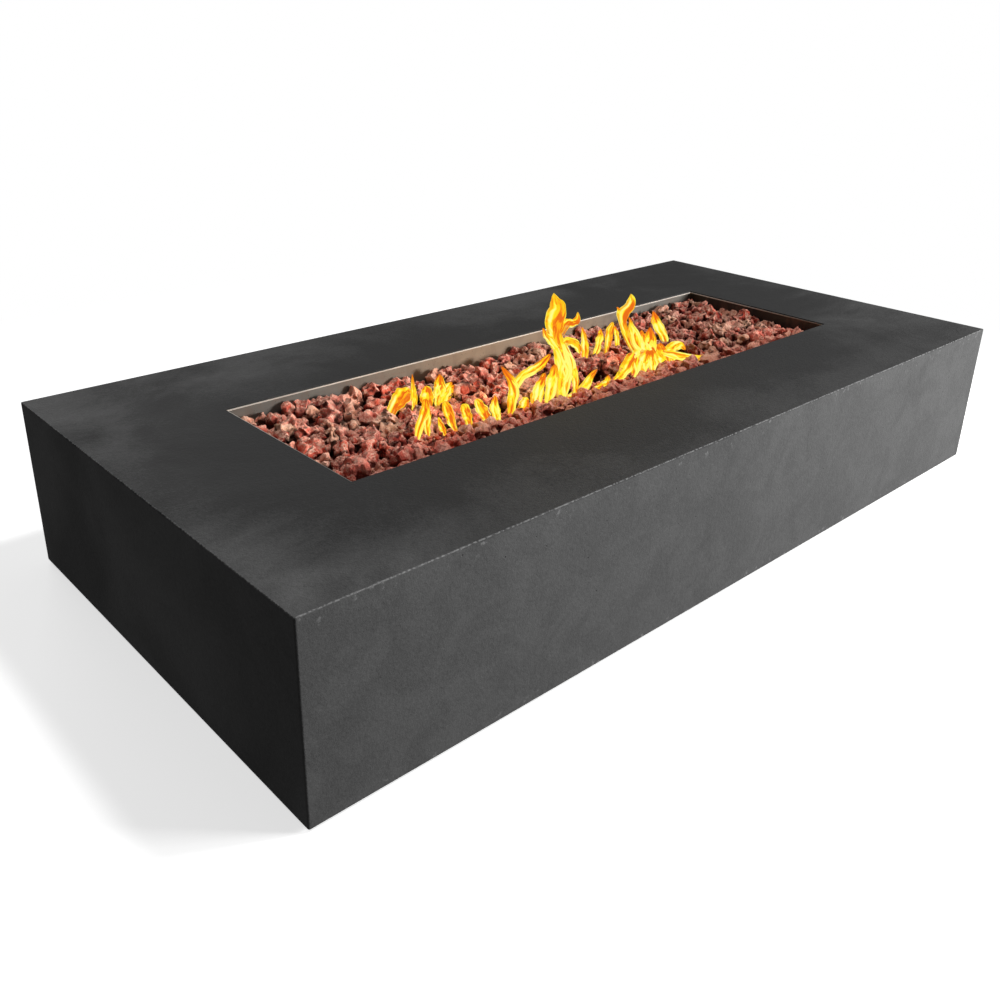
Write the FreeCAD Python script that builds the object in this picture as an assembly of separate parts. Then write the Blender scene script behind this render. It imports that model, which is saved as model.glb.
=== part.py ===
import FreeCAD, Part
import math
import os
import random

os.makedirs("parts", exist_ok=True)

V = FreeCAD.Vector
UP = V(0, 0, 1)
DOWN = V(0, 0, -1)
RIGHT = V(1, 0, 0)
LEFT = V(-1, 0, 0)
BACK = V(0, 1, 0)
FRONT = V(0, -1, 0)

# Driving dimensions in millimetres. X runs along the table, Y across it, Z up.
# The origin is on the ground under the middle of the table.

# Cast shell
TABLE_LENGTH = 1676.0
TABLE_WIDTH = 820.0
TABLE_HEIGHT = 292.0
WALL = 22.0
SLAB = 32.0
CORNER_RADIUS = 3.0
FOOT_EDGE_RADIUS = 3.0
ARRIS_RADIUS = 1.5
CAVITY_RADIUS = 10.0
OPENING_LENGTH = 1208.0
OPENING_WIDTH = 352.0

# Foot pads under the wall
PAD_THICKNESS = 3.0
PAD_LENGTH = 60.0
PAD_WIDTH = 10.0
PAD_INSET = 56.0

# Clearances
FIT = 0.1
RUN = 0.05
SEAT = 0.3
CUT_PAST = 5.0

# Fire pan
PAN_GAP = 1.5
PAN_DROP = 2.0
PAN_DEPTH = 92.0
PAN_SHEET = 2.0
PAN_CORNER_RADIUS = 4.0
DRAIN_RADIUS = 5.0
DRAIN_PITCH = 380.0
DRAIN_ROW = 130.0

# Z-section rails that carry the pan
RAIL_LENGTH = 1000.0
RAIL_SHEET = 3.0
RAIL_FLANGE = 38.0
RAIL_LEDGE = 30.0
RAIL_CLEARANCE = 1.0
RAIL_BOLT_PITCH = 300.0
RAIL_BOLT_COUNT = 4

# Bolts, washers and cast-in inserts
BOLT_RADIUS = 4.0
BOLT_HEAD_FLATS = 13.0
BOLT_HEAD_HEIGHT = 5.3
BOLT_SHANK = 18.0
WASHER_RADIUS = 8.0
WASHER_THICKNESS = 1.6
INSERT_RADIUS = 6.5
INSERT_LENGTH = 20.0
INSERT_FLOOR = 3.0
SCREW_RADIUS = 2.0
SCREW_HEAD_RADIUS = 3.8
SCREW_LENGTH = 14.0
SMALL_INSERT_RADIUS = 3.6
SMALL_INSERT_LENGTH = 16.0

# Burner, two long tubes joined by a crossbar
BURNER_LENGTH = 760.0
BURNER_SPACING = 114.0
BURNER_DROP = 42.0
TUBE_RADIUS = 10.65
TUBE_WALL = 2.0
CAP_WALL = 2.0
CAP_LENGTH = 20.0
PORT_RADIUS = 1.25
PORT_PITCH = 25.0
SUPPORT_PLACE = 300.0
SUPPORT_SHEET = 2.0
SUPPORT_WIDTH = 30.0
SUPPORT_FOOT = 20.0
TEE_RADIUS = 15.0
TEE_LENGTH = 44.0
TEE_LEG = 32.0
TEE_GRIP = 12.0
NIPPLE_REACH = 28.0
LOCKNUT_FLATS = 36.0
LOCKNUT_HEIGHT = 8.0
PAN_WASHER_RADIUS = 20.0
PAN_WASHER_THICKNESS = 3.0

# Elbow and air mixer under the pan
ELBOW_REACH = 32.0
MIXER_LENGTH = 78.0
MIXER_BORE = 8.0
MIXER_SLOT_LENGTH = 14.0
MIXER_SLOT_WIDTH = 8.0
ORIFICE_FLATS = 24.0
ORIFICE_LENGTH = 15.0
ORIFICE_BORE = 1.5

# Flared ends, nuts and flexible gas lines
FLARE_RADIUS = 7.94
FLARE_LENGTH = 12.0
FLARE_BORE = 5.0
NUT_FLATS = 22.0
NUT_LENGTH = 24.0
HOSE_RADIUS = 6.35
HOSE_WALL = 1.2
HOSE_LEAD_OUT = 45.0

# Recessed control box in the right end wall
BOX_WIDTH = 150.0
BOX_HEIGHT = 80.0
BOX_DEPTH = 38.0
BOX_SHEET = 1.5
BOX_FLANGE = 14.0
BOX_SET_BACK = 0.3
BOX_MIDDLE_HEIGHT = 130.0
BOX_CLEARANCE = 1.0

# Gas valve behind the control box
VALVE_SET_BACK = 8.0
VALVE_PLACE = -28.0
VALVE_LENGTH = 34.0
VALVE_SIZE = 40.0
NECK_RADIUS = 8.0
NECK_PROUD = 4.5
PANEL_NUT_FLATS = 24.0
PANEL_NUT_HEIGHT = 4.0
CHAMBER_RADIUS = 9.0
CHAMBER_LENGTH = 18.0
CHAMBER_FRONT = 2.5
STEM_RADIUS = 4.0
STEM_COLLAR_RADIUS = 7.0
STEM_COLLAR_LENGTH = 1.8
STEM_TAIL = 7.0
THRUST_WASHER_RADIUS = 8.5
THRUST_WASHER_THICKNESS = 2.0
VALVE_PUSH = 3.0
SPRING_WIRE = 0.8
SPRING_RADIUS = 6.0
SPRING_TURNS = 4
VALVE_ELBOW_DROP = 22.0
VALVE_ELBOW_RADIUS = 9.0
THERMO_PORT_RADIUS = 4.0
THERMO_PORT_LENGTH = 6.0

# Knob
KNOB_RADIUS = 19.0
KNOB_SKIRT = 6.0
KNOB_GRIP_WIDTH = 13.0
KNOB_LENGTH = 20.0
KNOB_BORE_DEPTH = 14.0
KNOB_MARK_WIDTH = 2.0
KNOB_MARK_DEPTH = 1.0

# Spark igniter with its push-button
IGNITER_PLACE = 42.0
IGNITER_RADIUS = 10.0
IGNITER_LENGTH = 26.0
IGNITER_BACK = 30.0
IGNITER_CHAMBER_RADIUS = 9.0
IGNITER_LIP = 4.0
IGNITER_BEZEL_RADIUS = 13.0
IGNITER_BEZEL = 2.0
BUTTON_RADIUS = 7.0
BUTTON_COLLAR_RADIUS = 8.7
BUTTON_COLLAR = 3.0
BUTTON_PUSH = 4.0
BUTTON_LEFT_PROUD = 2.0
IGNITER_NUT_FLATS = 26.0
IGNITER_NUT_HEIGHT = 4.0

# Spark electrode and flame sensor beside the front burner tube
ELECTRODE_X = 60.0
ELECTRODE_ASIDE = 24.0
SENSOR_ASIDE = 18.0
INSULATOR_RADIUS = 4.0
INSULATOR_LENGTH = 54.0
INSULATOR_BELOW = 12.0
ROD_RADIUS = 1.2
ROD_PROUD = 18.0
SENSOR_RADIUS = 2.4
BRACKET_SHEET = 1.5
BRACKET_WIDTH = 16.0
BRACKET_RISE = 24.0
BOOT_RADIUS = 5.0
BOOT_LENGTH = 14.0
LEAD_RADIUS = 2.5
SENSOR_LEAD_RADIUS = 1.5

# Gas inlet in the back wall, over a notch for the hose
INLET_FROM_END = 138.0
INLET_HEIGHT = 42.0
NOTCH_WIDTH = 80.0
NOTCH_HEIGHT = 64.0
INLET_PLATE_WIDTH = 130.0
INLET_PLATE_TOP = 96.0
INLET_PLATE_BOTTOM = 27.0
INLET_PLATE_SHEET = 2.0
INLET_THREAD_RADIUS = 9.0
INLET_HEX_FLATS = 24.0
INLET_HEX = 5.0

# Vents in the back wall
VENT_PLACES = (-480.0, 240.0)
VENT_WIDTH = 150.0
VENT_HEIGHT = 46.0
VENT_FLANGE = 14.0
VENT_SHEET = 1.5
VENT_MIDDLE_HEIGHT = 140.0
VENT_SLOT_WIDTH = 6.0
VENT_SLOT_PITCH = 14.0
VENT_SLOT_COUNT = 10

# Lava filler and lava rock
FILLER_DEPTH = 11.0
ROCK_GAP = 0.3
ROCK_PITCH = 43.0
ROCK_JITTER = 9.0
ROCK_SMALL = 17.0
ROCK_LARGE = 26.0
ROCK_SEED = 11
ROCK_LAYERS = 6
ROCK_TRIES = 4
ROCK_SHRINK = 0.82
MIDDLE_DEPTH = 27.0
END_DEPTH = 19.0
PILE_START = 330.0
PILE_END = 470.0

# Flames: place along the tube, height above it, width, lean, and which sheet of the fire it is in
FRONT_FLAMES = (
    (-350.0, 72.0, 24.0, -20.0, 0),
    (-326.0, 60.0, 20.0, -14.0, 1),
    (-300.0, 45.0, 22.0, -2.0, -1),
    (-268.0, 48.0, 26.0, -14.0, 1),
    (-234.0, 43.0, 24.0, -8.0, -1),
    (-202.0, 92.0, 30.0, -18.0, 0),
    (-166.0, 30.0, 26.0, 4.0, 0),
    (-132.0, 54.0, 30.0, 8.0, 1),
    (-84.0, 190.0, 74.0, -18.0, -1),
    (-46.0, 150.0, 56.0, 8.0, 1),
    (-10.0, 62.0, 34.0, 12.0, -1),
    (32.0, 36.0, 36.0, 10.0, 0),
    (100.0, 158.0, 42.0, -6.0, -1),
    (140.0, 84.0, 44.0, 10.0, 1),
    (172.0, 116.0, 46.0, -8.0, -1),
    (212.0, 84.0, 40.0, 6.0, 1),
    (258.0, 44.0, 34.0, 22.0, 0),
)
REAR_FLAMES = (
    (-342.0, 46.0, 24.0, 8.0, 0),
    (-314.0, 64.0, 16.0, 2.0, 0),
    (-288.0, 36.0, 18.0, -2.0, 0),
    (-260.0, 54.0, 26.0, 2.0, 0),
    (104.0, 72.0, 20.0, -4.0, 0),
    (142.0, 58.0, 20.0, 8.0, 0),
    (176.0, 70.0, 20.0, 6.0, 0),
)
FLAME_HALF_THICKNESS = 4.6
FLAME_SHEET_OFFSET = 5.6
FLAME_FOOT = 0.62
FLAME_TIP = 0.7
FLAME_SHARES = (0, 0.15, 0.3, 0.55, 0.8, 1)

# Places worked out from the sizes above
SHELL_BOTTOM = PAD_THICKNESS
SLAB_BOTTOM = TABLE_HEIGHT - SLAB
RIGHT_FACE = TABLE_LENGTH / 2
BACK_FACE = TABLE_WIDTH / 2
BACK_INNER = BACK_FACE - WALL
PAN_LENGTH = OPENING_LENGTH - 2 * PAN_GAP
PAN_WIDTH = OPENING_WIDTH - 2 * PAN_GAP
PAN_TOP = TABLE_HEIGHT - PAN_DROP
PAN_BOTTOM = PAN_TOP - PAN_DEPTH
PAN_FLOOR = PAN_BOTTOM + PAN_SHEET
RAIL_WEB = OPENING_WIDTH / 2 + RAIL_CLEARANCE
TUBE_Y = BURNER_SPACING / 2
TUBE_Z = TABLE_HEIGHT - BURNER_DROP - TUBE_RADIUS
TUBE_TOP = TUBE_Z + TUBE_RADIUS
NIPPLE_BOTTOM = PAN_BOTTOM - NIPPLE_REACH
ELBOW_Z = NIPPLE_BOTTOM - TEE_RADIUS
MIXER_START = ELBOW_REACH
MIXER_END = MIXER_START + MIXER_LENGTH
ORIFICE_END = MIXER_END + ORIFICE_LENGTH
BOX_FACE = RIGHT_FACE - BOX_SET_BACK
BOX_BACK = BOX_FACE - BOX_DEPTH
BOX_REAR = BOX_BACK - BOX_SHEET
VALVE_FRONT = BOX_REAR - VALVE_SET_BACK
VALVE_REAR = VALVE_FRONT - VALVE_LENGTH
CHAMBER_END = VALVE_FRONT - CHAMBER_FRONT
COLLAR_FRONT = CHAMBER_END - SEAT
WASHER_FRONT = COLLAR_FRONT - STEM_COLLAR_LENGTH - SEAT
WASHER_REAR = WASHER_FRONT - THRUST_WASHER_THICKNESS
CHAMBER_START = CHAMBER_END - CHAMBER_LENGTH
NUT_FACE = BOX_BACK + PANEL_NUT_HEIGHT
KNOB_REAR = NUT_FACE + NECK_PROUD - PANEL_NUT_HEIGHT + VALVE_PUSH + SEAT
KNOB_FRONT = KNOB_REAR + KNOB_LENGTH
VALVE_BOTTOM = BOX_MIDDLE_HEIGHT - VALVE_SIZE / 2
VALVE_ELBOW_Z = VALVE_BOTTOM - VALVE_ELBOW_DROP
VALVE_X = (VALVE_FRONT + VALVE_REAR) / 2
IGNITER_START = BOX_BACK - IGNITER_LENGTH
IGNITER_REAR = IGNITER_START - IGNITER_BACK
BEZEL_FACE = BOX_BACK + IGNITER_BEZEL
LIP_REAR = BEZEL_FACE - IGNITER_LIP
BUTTON_REAR = LIP_REAR - SEAT - BUTTON_COLLAR
BUTTON_PROUD = BUTTON_PUSH + BUTTON_LEFT_PROUD
ELECTRODE_Y = -TUBE_Y + ELECTRODE_ASIDE
ELECTRODE_BOTTOM = PAN_BOTTOM - INSULATOR_BELOW
SENSOR_X = ELECTRODE_X + SENSOR_ASIDE
INLET_X = RIGHT_FACE - INLET_FROM_END
FILLER_TOP = PAN_FLOOR + FILLER_DEPTH


# Basic shapes

def block(x0, x1, y0, y1, z0, z1):
    return Part.makeBox(x1 - x0, y1 - y0, z1 - z0, V(x0, y0, z0))


def rod(start, direction, radius, length):
    return Part.makeCylinder(radius, length, start, direction)


def ring(start, direction, outer, inner, length):
    past = start - direction * CUT_PAST
    return rod(start, direction, outer, length).cut(
        rod(past, direction, inner, length + 2 * CUT_PAST))


def square_to(direction):
    side = UP if abs(direction.z) < 0.5 else RIGHT
    return direction.cross(side).normalize()


def hexagon(start, direction, flats, length):
    first = square_to(direction)
    second = direction.cross(first)
    reach = flats / math.sqrt(3)
    corners = []
    for step in range(7):
        turn = math.radians(60 * step)
        corners.append(start + first * (reach * math.cos(turn)) + second * (reach * math.sin(turn)))
    return Part.Face(Part.makePolygon(corners)).extrude(direction * length)


def nut(start, direction, flats, bore, length):
    past = start - direction * CUT_PAST
    return hexagon(start, direction, flats, length).cut(
        rod(past, direction, bore, length + 2 * CUT_PAST))


def joined(shapes):
    shapes = list(shapes)
    return shapes[0].multiFuse(shapes[1:]).removeSplitter() if len(shapes) > 1 else shapes[0]


def without(body, cutters):
    return body.cut(Part.makeCompound(list(cutters)))


def save(name, solids):
    Part.makeCompound(list(solids)).exportStep("parts/" + name + ".step")


def edges_where(shape, test):
    return [edge for edge in shape.Edges if test(edge)]


def is_upright(edge):
    box = edge.BoundBox
    return box.ZLength > max(box.XLength, box.YLength)


def lies_at(height):
    def test(edge):
        box = edge.BoundBox
        return box.ZLength < FIT and abs(box.ZMin - height) < FIT
    return test


# Paths for gas lines and leads: straight runs joined by tangent arcs

def rounded_corner(before, corner, after, reach):
    """A tangent arc that starts and ends at that reach from the corner, and its radius."""
    into = (corner - before).normalize()
    out = (after - corner).normalize()
    turn = into.getAngle(out)
    radius = reach / math.tan(turn / 2)
    inwards = (out - into).normalize()
    centre = corner + inwards * (radius / math.cos(turn / 2))
    start = corner - into * reach
    end = corner + out * reach
    return start, Part.Arc(start, centre - inwards * radius, end).toShape(), end, radius


def path_edges(points, label):
    edges = []
    start = points[0]
    radii = []
    for before, corner, after in zip(points, points[1:], points[2:]):
        reach = 0.45 * min((corner - before).Length, (after - corner).Length)
        arc_start, arc, arc_end, radius = rounded_corner(before, corner, after, reach)
        edges.append(Part.LineSegment(start, arc_start).toShape())
        edges.append(arc)
        radii.append(round(radius))
        start = arc_end
    edges.append(Part.LineSegment(start, points[-1]).toShape())
    print(label, "radii", radii)
    return edges


def swept(edges, points, radius):
    direction = (points[1] - points[0]).normalize()
    circle = Part.Wire(Part.Circle(points[0], direction, radius).toShape())
    return Part.Wire(edges).makePipeShell([circle], True, False)


def cable(points, radius, label):
    edges = path_edges(points, label)
    length = sum(edge.Length for edge in edges)
    solid = swept(edges, points, radius)
    print(label, "length", round(length), "volume ratio",
          round(solid.Volume / (math.pi * radius * radius * length), 4))
    return solid


def hose(points, radius, wall, label):
    edges = path_edges(points, label)
    length = sum(edge.Length for edge in edges)
    solid = swept(edges, points, radius).cut(swept(edges, points, radius - wall))
    inner = radius - wall
    section = math.pi * (radius * radius - inner * inner)
    print(label, "length", round(length), "volume ratio", round(solid.Volume / (section * length), 4))
    return solid


# Places of the fasteners

def pad_places():
    across = TABLE_WIDTH / 2 - FOOT_EDGE_RADIUS - (WALL - FOOT_EDGE_RADIUS) / 2
    along = TABLE_LENGTH / 2 - PAD_INSET
    return [(x, y) for x in (-along, 0.0, along) for y in (-across, across)]


def rail_bolt_places():
    first = -RAIL_BOLT_PITCH * (RAIL_BOLT_COUNT - 1) / 2
    reach = RAIL_WEB + RAIL_SHEET + (RAIL_FLANGE - RAIL_SHEET) / 2
    return [(first + step * RAIL_BOLT_PITCH, side * reach)
            for side in (-1, 1) for step in range(RAIL_BOLT_COUNT)]


def box_screw_places():
    across = BOX_WIDTH / 2 + BOX_SHEET + BOX_FLANGE / 2
    up = BOX_HEIGHT / 2 + BOX_SHEET + BOX_FLANGE / 2
    return [(side * across, BOX_MIDDLE_HEIGHT + lift * up) for side in (-1, 1) for lift in (-1, 1)]


def vent_screw_places():
    across = VENT_WIDTH / 2 + VENT_FLANGE / 2
    return [(middle + side * across, VENT_MIDDLE_HEIGHT + lift * VENT_HEIGHT / 2)
            for middle in VENT_PLACES for side in (-1, 1) for lift in (-1, 1)]


def inlet_bolt_places():
    across = (NOTCH_WIDTH + INLET_PLATE_WIDTH) / 4
    return [(INLET_X + side * across, INLET_PLATE_TOP - INSERT_RADIUS * 2) for side in (-1, 1)]


# Shell and feet

def shell_blank():
    body = block(-RIGHT_FACE, RIGHT_FACE, -BACK_FACE, BACK_FACE, SHELL_BOTTOM, TABLE_HEIGHT)
    body = body.makeFillet(CORNER_RADIUS, edges_where(body, is_upright))
    body = body.makeFillet(FOOT_EDGE_RADIUS, edges_where(body, lies_at(SHELL_BOTTOM)))
    return body.makeFillet(ARRIS_RADIUS, edges_where(body, lies_at(TABLE_HEIGHT)))


def cavity():
    hollow = block(-RIGHT_FACE + WALL, RIGHT_FACE - WALL, -BACK_INNER, BACK_INNER,
                   SHELL_BOTTOM - CUT_PAST, SLAB_BOTTOM)
    return hollow.makeFillet(CAVITY_RADIUS, edges_where(hollow, is_upright))


def centred_block(length, width, z0, z1):
    return block(-length / 2, length / 2, -width / 2, width / 2, z0, z1)


def box_cutters():
    half_width = BOX_WIDTH / 2 + BOX_SHEET + BOX_CLEARANCE
    half_height = BOX_HEIGHT / 2 + BOX_SHEET + BOX_CLEARANCE
    rim_width = half_width + BOX_FLANGE
    rim_height = half_height + BOX_FLANGE
    rim_start = BOX_FACE - BOX_SHEET
    hole = block(RIGHT_FACE - WALL - CUT_PAST, RIGHT_FACE + CUT_PAST, -half_width, half_width,
                 BOX_MIDDLE_HEIGHT - half_height, BOX_MIDDLE_HEIGHT + half_height)
    rim = block(rim_start, RIGHT_FACE + CUT_PAST, -rim_width, rim_width,
                BOX_MIDDLE_HEIGHT - rim_height, BOX_MIDDLE_HEIGHT + rim_height)
    screws = [rod(V(rim_start - SMALL_INSERT_LENGTH, y, z), RIGHT, SMALL_INSERT_RADIUS + FIT,
                  SMALL_INSERT_LENGTH + CUT_PAST) for y, z in box_screw_places()]
    return [hole, rim] + screws


def vent_cutters():
    cutters = []
    rim_start = BACK_FACE - BOX_SET_BACK - VENT_SHEET
    for middle in VENT_PLACES:
        low = VENT_MIDDLE_HEIGHT - VENT_HEIGHT / 2
        high = VENT_MIDDLE_HEIGHT + VENT_HEIGHT / 2
        left = middle - VENT_WIDTH / 2
        right = middle + VENT_WIDTH / 2
        cutters.append(block(left, right, BACK_INNER - CUT_PAST, BACK_FACE + CUT_PAST, low, high))
        rim = VENT_FLANGE + BOX_CLEARANCE
        cutters.append(block(left - rim, right + rim, rim_start, BACK_FACE + CUT_PAST,
                             low - rim, high + rim))
    for x, z in vent_screw_places():
        cutters.append(rod(V(x, rim_start - SMALL_INSERT_LENGTH, z), BACK,
                           SMALL_INSERT_RADIUS + FIT, SMALL_INSERT_LENGTH + CUT_PAST))
    return cutters


def concrete_shell():
    opening = centred_block(OPENING_LENGTH, OPENING_WIDTH, SLAB_BOTTOM - CUT_PAST,
                            TABLE_HEIGHT + CUT_PAST)
    notch = block(INLET_X - NOTCH_WIDTH / 2, INLET_X + NOTCH_WIDTH / 2, BACK_INNER - CUT_PAST,
                  BACK_FACE + CUT_PAST, SHELL_BOTTOM - CUT_PAST, NOTCH_HEIGHT)
    cutters = [cavity(), opening, notch] + box_cutters() + vent_cutters()
    for x, y in rail_bolt_places():
        cutters.append(rod(V(x, y, SLAB_BOTTOM - CUT_PAST), UP, INSERT_RADIUS + FIT,
                           INSERT_LENGTH + CUT_PAST))
    for x, z in inlet_bolt_places():
        cutters.append(rod(V(x, BACK_INNER - CUT_PAST, z), BACK, INSERT_RADIUS + FIT,
                           INSERT_LENGTH - INSERT_FLOOR + CUT_PAST))
    return without(shell_blank(), cutters)


def foot_pads():
    return [block(x - PAD_LENGTH / 2, x + PAD_LENGTH / 2, y - PAD_WIDTH / 2, y + PAD_WIDTH / 2,
                  0, PAD_THICKNESS) for x, y in pad_places()]


# Fasteners

def insert(start, direction, radius, length, bore):
    return rod(start, direction, radius, length).cut(
        rod(start - direction * CUT_PAST, direction, bore, length - INSERT_FLOOR + CUT_PAST))


def slab_inserts():
    return [insert(V(x, y, SLAB_BOTTOM), UP, INSERT_RADIUS, INSERT_LENGTH, BOLT_RADIUS + FIT)
            for x, y in rail_bolt_places()]


def wall_inserts():
    length = INSERT_LENGTH - INSERT_FLOOR
    big = [insert(V(x, BACK_INNER, z), BACK, INSERT_RADIUS, length, BOLT_RADIUS + FIT)
           for x, z in inlet_bolt_places()]
    depth = BOX_FACE - BOX_SHEET
    right = [insert(V(depth, y, z), LEFT, SMALL_INSERT_RADIUS, SMALL_INSERT_LENGTH,
                    SCREW_RADIUS + FIT) for y, z in box_screw_places()]
    depth = BACK_FACE - BOX_SET_BACK - VENT_SHEET
    back = [insert(V(x, depth, z), FRONT, SMALL_INSERT_RADIUS, SMALL_INSERT_LENGTH,
                   SCREW_RADIUS + FIT) for x, z in vent_screw_places()]
    return big + right + back


def bolt(seat, direction, shank):
    head = hexagon(seat - direction * BOLT_HEAD_HEIGHT, direction, BOLT_HEAD_FLATS, BOLT_HEAD_HEIGHT)
    return joined([head, rod(seat, direction, BOLT_RADIUS, shank)])


def rail_bolt_seat():
    return SLAB_BOTTOM - RAIL_SHEET - WASHER_THICKNESS


def rail_bolts():
    return [bolt(V(x, y, rail_bolt_seat()), UP, BOLT_SHANK) for x, y in rail_bolt_places()]


def inlet_bolt_seat():
    return BACK_INNER - INLET_PLATE_SHEET - WASHER_THICKNESS


def inlet_bolt_shank():
    return INSERT_LENGTH - 2 * INSERT_FLOOR


def inlet_bolts():
    return [bolt(V(x, inlet_bolt_seat(), z), BACK, inlet_bolt_shank()) for x, z in inlet_bolt_places()]


def washers():
    under_slab = [ring(V(x, y, rail_bolt_seat()), UP, WASHER_RADIUS, BOLT_RADIUS + FIT,
                       WASHER_THICKNESS) for x, y in rail_bolt_places()]
    at_inlet = [ring(V(x, inlet_bolt_seat(), z), BACK, WASHER_RADIUS, BOLT_RADIUS + FIT,
                     WASHER_THICKNESS) for x, z in inlet_bolt_places()]
    return under_slab + at_inlet


def countersunk(face, direction):
    head = Part.makeCone(SCREW_HEAD_RADIUS, SCREW_RADIUS, BOX_SHEET, face, direction)
    return joined([head, rod(face, direction, SCREW_RADIUS, SCREW_LENGTH)])


def countersink(face, direction):
    grown = SCREW_HEAD_RADIUS + FIT
    cone = Part.makeCone(grown, SCREW_RADIUS + FIT, BOX_SHEET, face, direction)
    past = rod(face - direction * CUT_PAST, direction, SCREW_RADIUS + FIT, BOX_SHEET + 2 * CUT_PAST)
    return joined([cone, past])


def box_screws():
    return [countersunk(V(BOX_FACE, y, z), LEFT) for y, z in box_screw_places()]


def vent_screws():
    face = BACK_FACE - BOX_SET_BACK
    return [countersunk(V(x, face, z), FRONT) for x, z in vent_screw_places()]


# Pan and its rails

def pan_holes():
    holes = [rod(V(0, 0, PAN_BOTTOM - CUT_PAST), UP, TUBE_RADIUS + FIT, 3 * CUT_PAST)]
    holes.append(rod(V(ELECTRODE_X, ELECTRODE_Y, PAN_BOTTOM - CUT_PAST), UP,
                     INSULATOR_RADIUS + FIT, 3 * CUT_PAST))
    holes.append(rod(V(SENSOR_X, ELECTRODE_Y, PAN_BOTTOM - CUT_PAST), UP,
                     SENSOR_RADIUS + FIT, 3 * CUT_PAST))
    for x in (-DRAIN_PITCH, 0.0, DRAIN_PITCH):
        for y in (-DRAIN_ROW, DRAIN_ROW):
            holes.append(rod(V(x, y, PAN_BOTTOM - CUT_PAST), UP, DRAIN_RADIUS, 3 * CUT_PAST))
    return holes


def fire_pan():
    outside = centred_block(PAN_LENGTH, PAN_WIDTH, PAN_BOTTOM, PAN_TOP)
    outside = outside.makeFillet(PAN_CORNER_RADIUS, edges_where(outside, is_upright))
    inside = centred_block(PAN_LENGTH - 2 * PAN_SHEET, PAN_WIDTH - 2 * PAN_SHEET, PAN_FLOOR,
                           PAN_TOP + CUT_PAST)
    inside = inside.makeFillet(PAN_CORNER_RADIUS - PAN_SHEET, edges_where(inside, is_upright))
    return without(outside, [inside] + pan_holes())


def pan_rail(side):
    half = RAIL_LENGTH / 2
    web = RAIL_WEB
    top = block(-half, half, web, web + RAIL_FLANGE, SLAB_BOTTOM - RAIL_SHEET, SLAB_BOTTOM)
    upright = block(-half, half, web, web + RAIL_SHEET, PAN_BOTTOM - RAIL_SHEET, SLAB_BOTTOM)
    ledge = block(-half, half, web + RAIL_SHEET - RAIL_LEDGE, web + RAIL_SHEET,
                  PAN_BOTTOM - RAIL_SHEET, PAN_BOTTOM)
    holes = [rod(V(x, y, SLAB_BOTTOM - CUT_PAST), UP, BOLT_RADIUS + FIT, 2 * CUT_PAST)
             for x, y in rail_bolt_places() if y > 0]
    rail = without(joined([top, upright, ledge]), holes)
    return rail if side > 0 else rail.rotate(V(0, 0, 0), UP, 180)


# Burner

def burner_tube(side):
    reach = BURNER_LENGTH / 2 - CAP_WALL
    start = V(-reach, side * TUBE_Y, TUBE_Z)
    tube = ring(start, RIGHT, TUBE_RADIUS, TUBE_RADIUS - TUBE_WALL, 2 * reach)
    count = int((BURNER_LENGTH / 2 - CAP_LENGTH) / PORT_PITCH)
    ports = [rod(V(step * PORT_PITCH, side * TUBE_Y, TUBE_Z), UP, PORT_RADIUS, 2 * TUBE_RADIUS)
             for step in range(-count, count + 1)]
    gas_way = rod(V(0, side * TUBE_Y, TUBE_Z), V(0, -side, 0), TUBE_RADIUS - TUBE_WALL,
                  TUBE_RADIUS + CUT_PAST)
    return without(tube, ports + [gas_way])


def burner_caps():
    caps = []
    for end in (-1, 1):
        for side in (-1, 1):
            outward = V(end, 0, 0)
            mouth = V(end * (BURNER_LENGTH / 2 - CAP_LENGTH), side * TUBE_Y, TUBE_Z)
            cup = rod(mouth, outward, TUBE_RADIUS + FIT + CAP_WALL, CAP_LENGTH)
            hollow = rod(mouth - outward * CUT_PAST, outward, TUBE_RADIUS + FIT,
                         CAP_LENGTH - CAP_WALL + CUT_PAST)
            caps.append(cup.cut(hollow))
    return caps


def crossbar_stubs():
    inner_end = TEE_LENGTH / 2 - TEE_GRIP
    stubs = []
    for side in (-1, 1):
        start = V(0, side * inner_end, TUBE_Z)
        stub = ring(start, V(0, side, 0), TUBE_RADIUS, TUBE_RADIUS - TUBE_WALL, TUBE_Y - inner_end)
        saddle = rod(V(-2 * TUBE_RADIUS, side * TUBE_Y, TUBE_Z), RIGHT, TUBE_RADIUS + FIT,
                     4 * TUBE_RADIUS)
        stubs.append(stub.cut(saddle))
    return stubs


def hub_tee():
    bar = rod(V(0, -TEE_LENGTH / 2, TUBE_Z), BACK, TEE_RADIUS, TEE_LENGTH)
    leg = rod(V(0, 0, TUBE_Z), DOWN, TEE_RADIUS, TEE_LEG)
    bore = rod(V(0, -TEE_LENGTH / 2 - CUT_PAST, TUBE_Z), BACK, TUBE_RADIUS + FIT,
               TEE_LENGTH + 2 * CUT_PAST)
    drop = rod(V(0, 0, TUBE_Z), DOWN, TUBE_RADIUS + FIT, TEE_LEG + CUT_PAST)
    return without(joined([bar, leg]), [bore, drop])


def hub_nipple():
    top = TUBE_Z - TEE_LEG + TEE_GRIP
    return ring(V(0, 0, top), DOWN, TUBE_RADIUS, TUBE_RADIUS - TUBE_WALL, top - NIPPLE_BOTTOM)


def hub_washer():
    return ring(V(0, 0, PAN_FLOOR), UP, PAN_WASHER_RADIUS, TUBE_RADIUS + FIT, PAN_WASHER_THICKNESS)


def hub_locknut():
    return nut(V(0, 0, PAN_BOTTOM), DOWN, LOCKNUT_FLATS, TUBE_RADIUS + FIT, LOCKNUT_HEIGHT)


def support_places():
    return [(x, y) for x in (-SUPPORT_PLACE, SUPPORT_PLACE) for y in (-TUBE_Y, TUBE_Y)]


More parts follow.
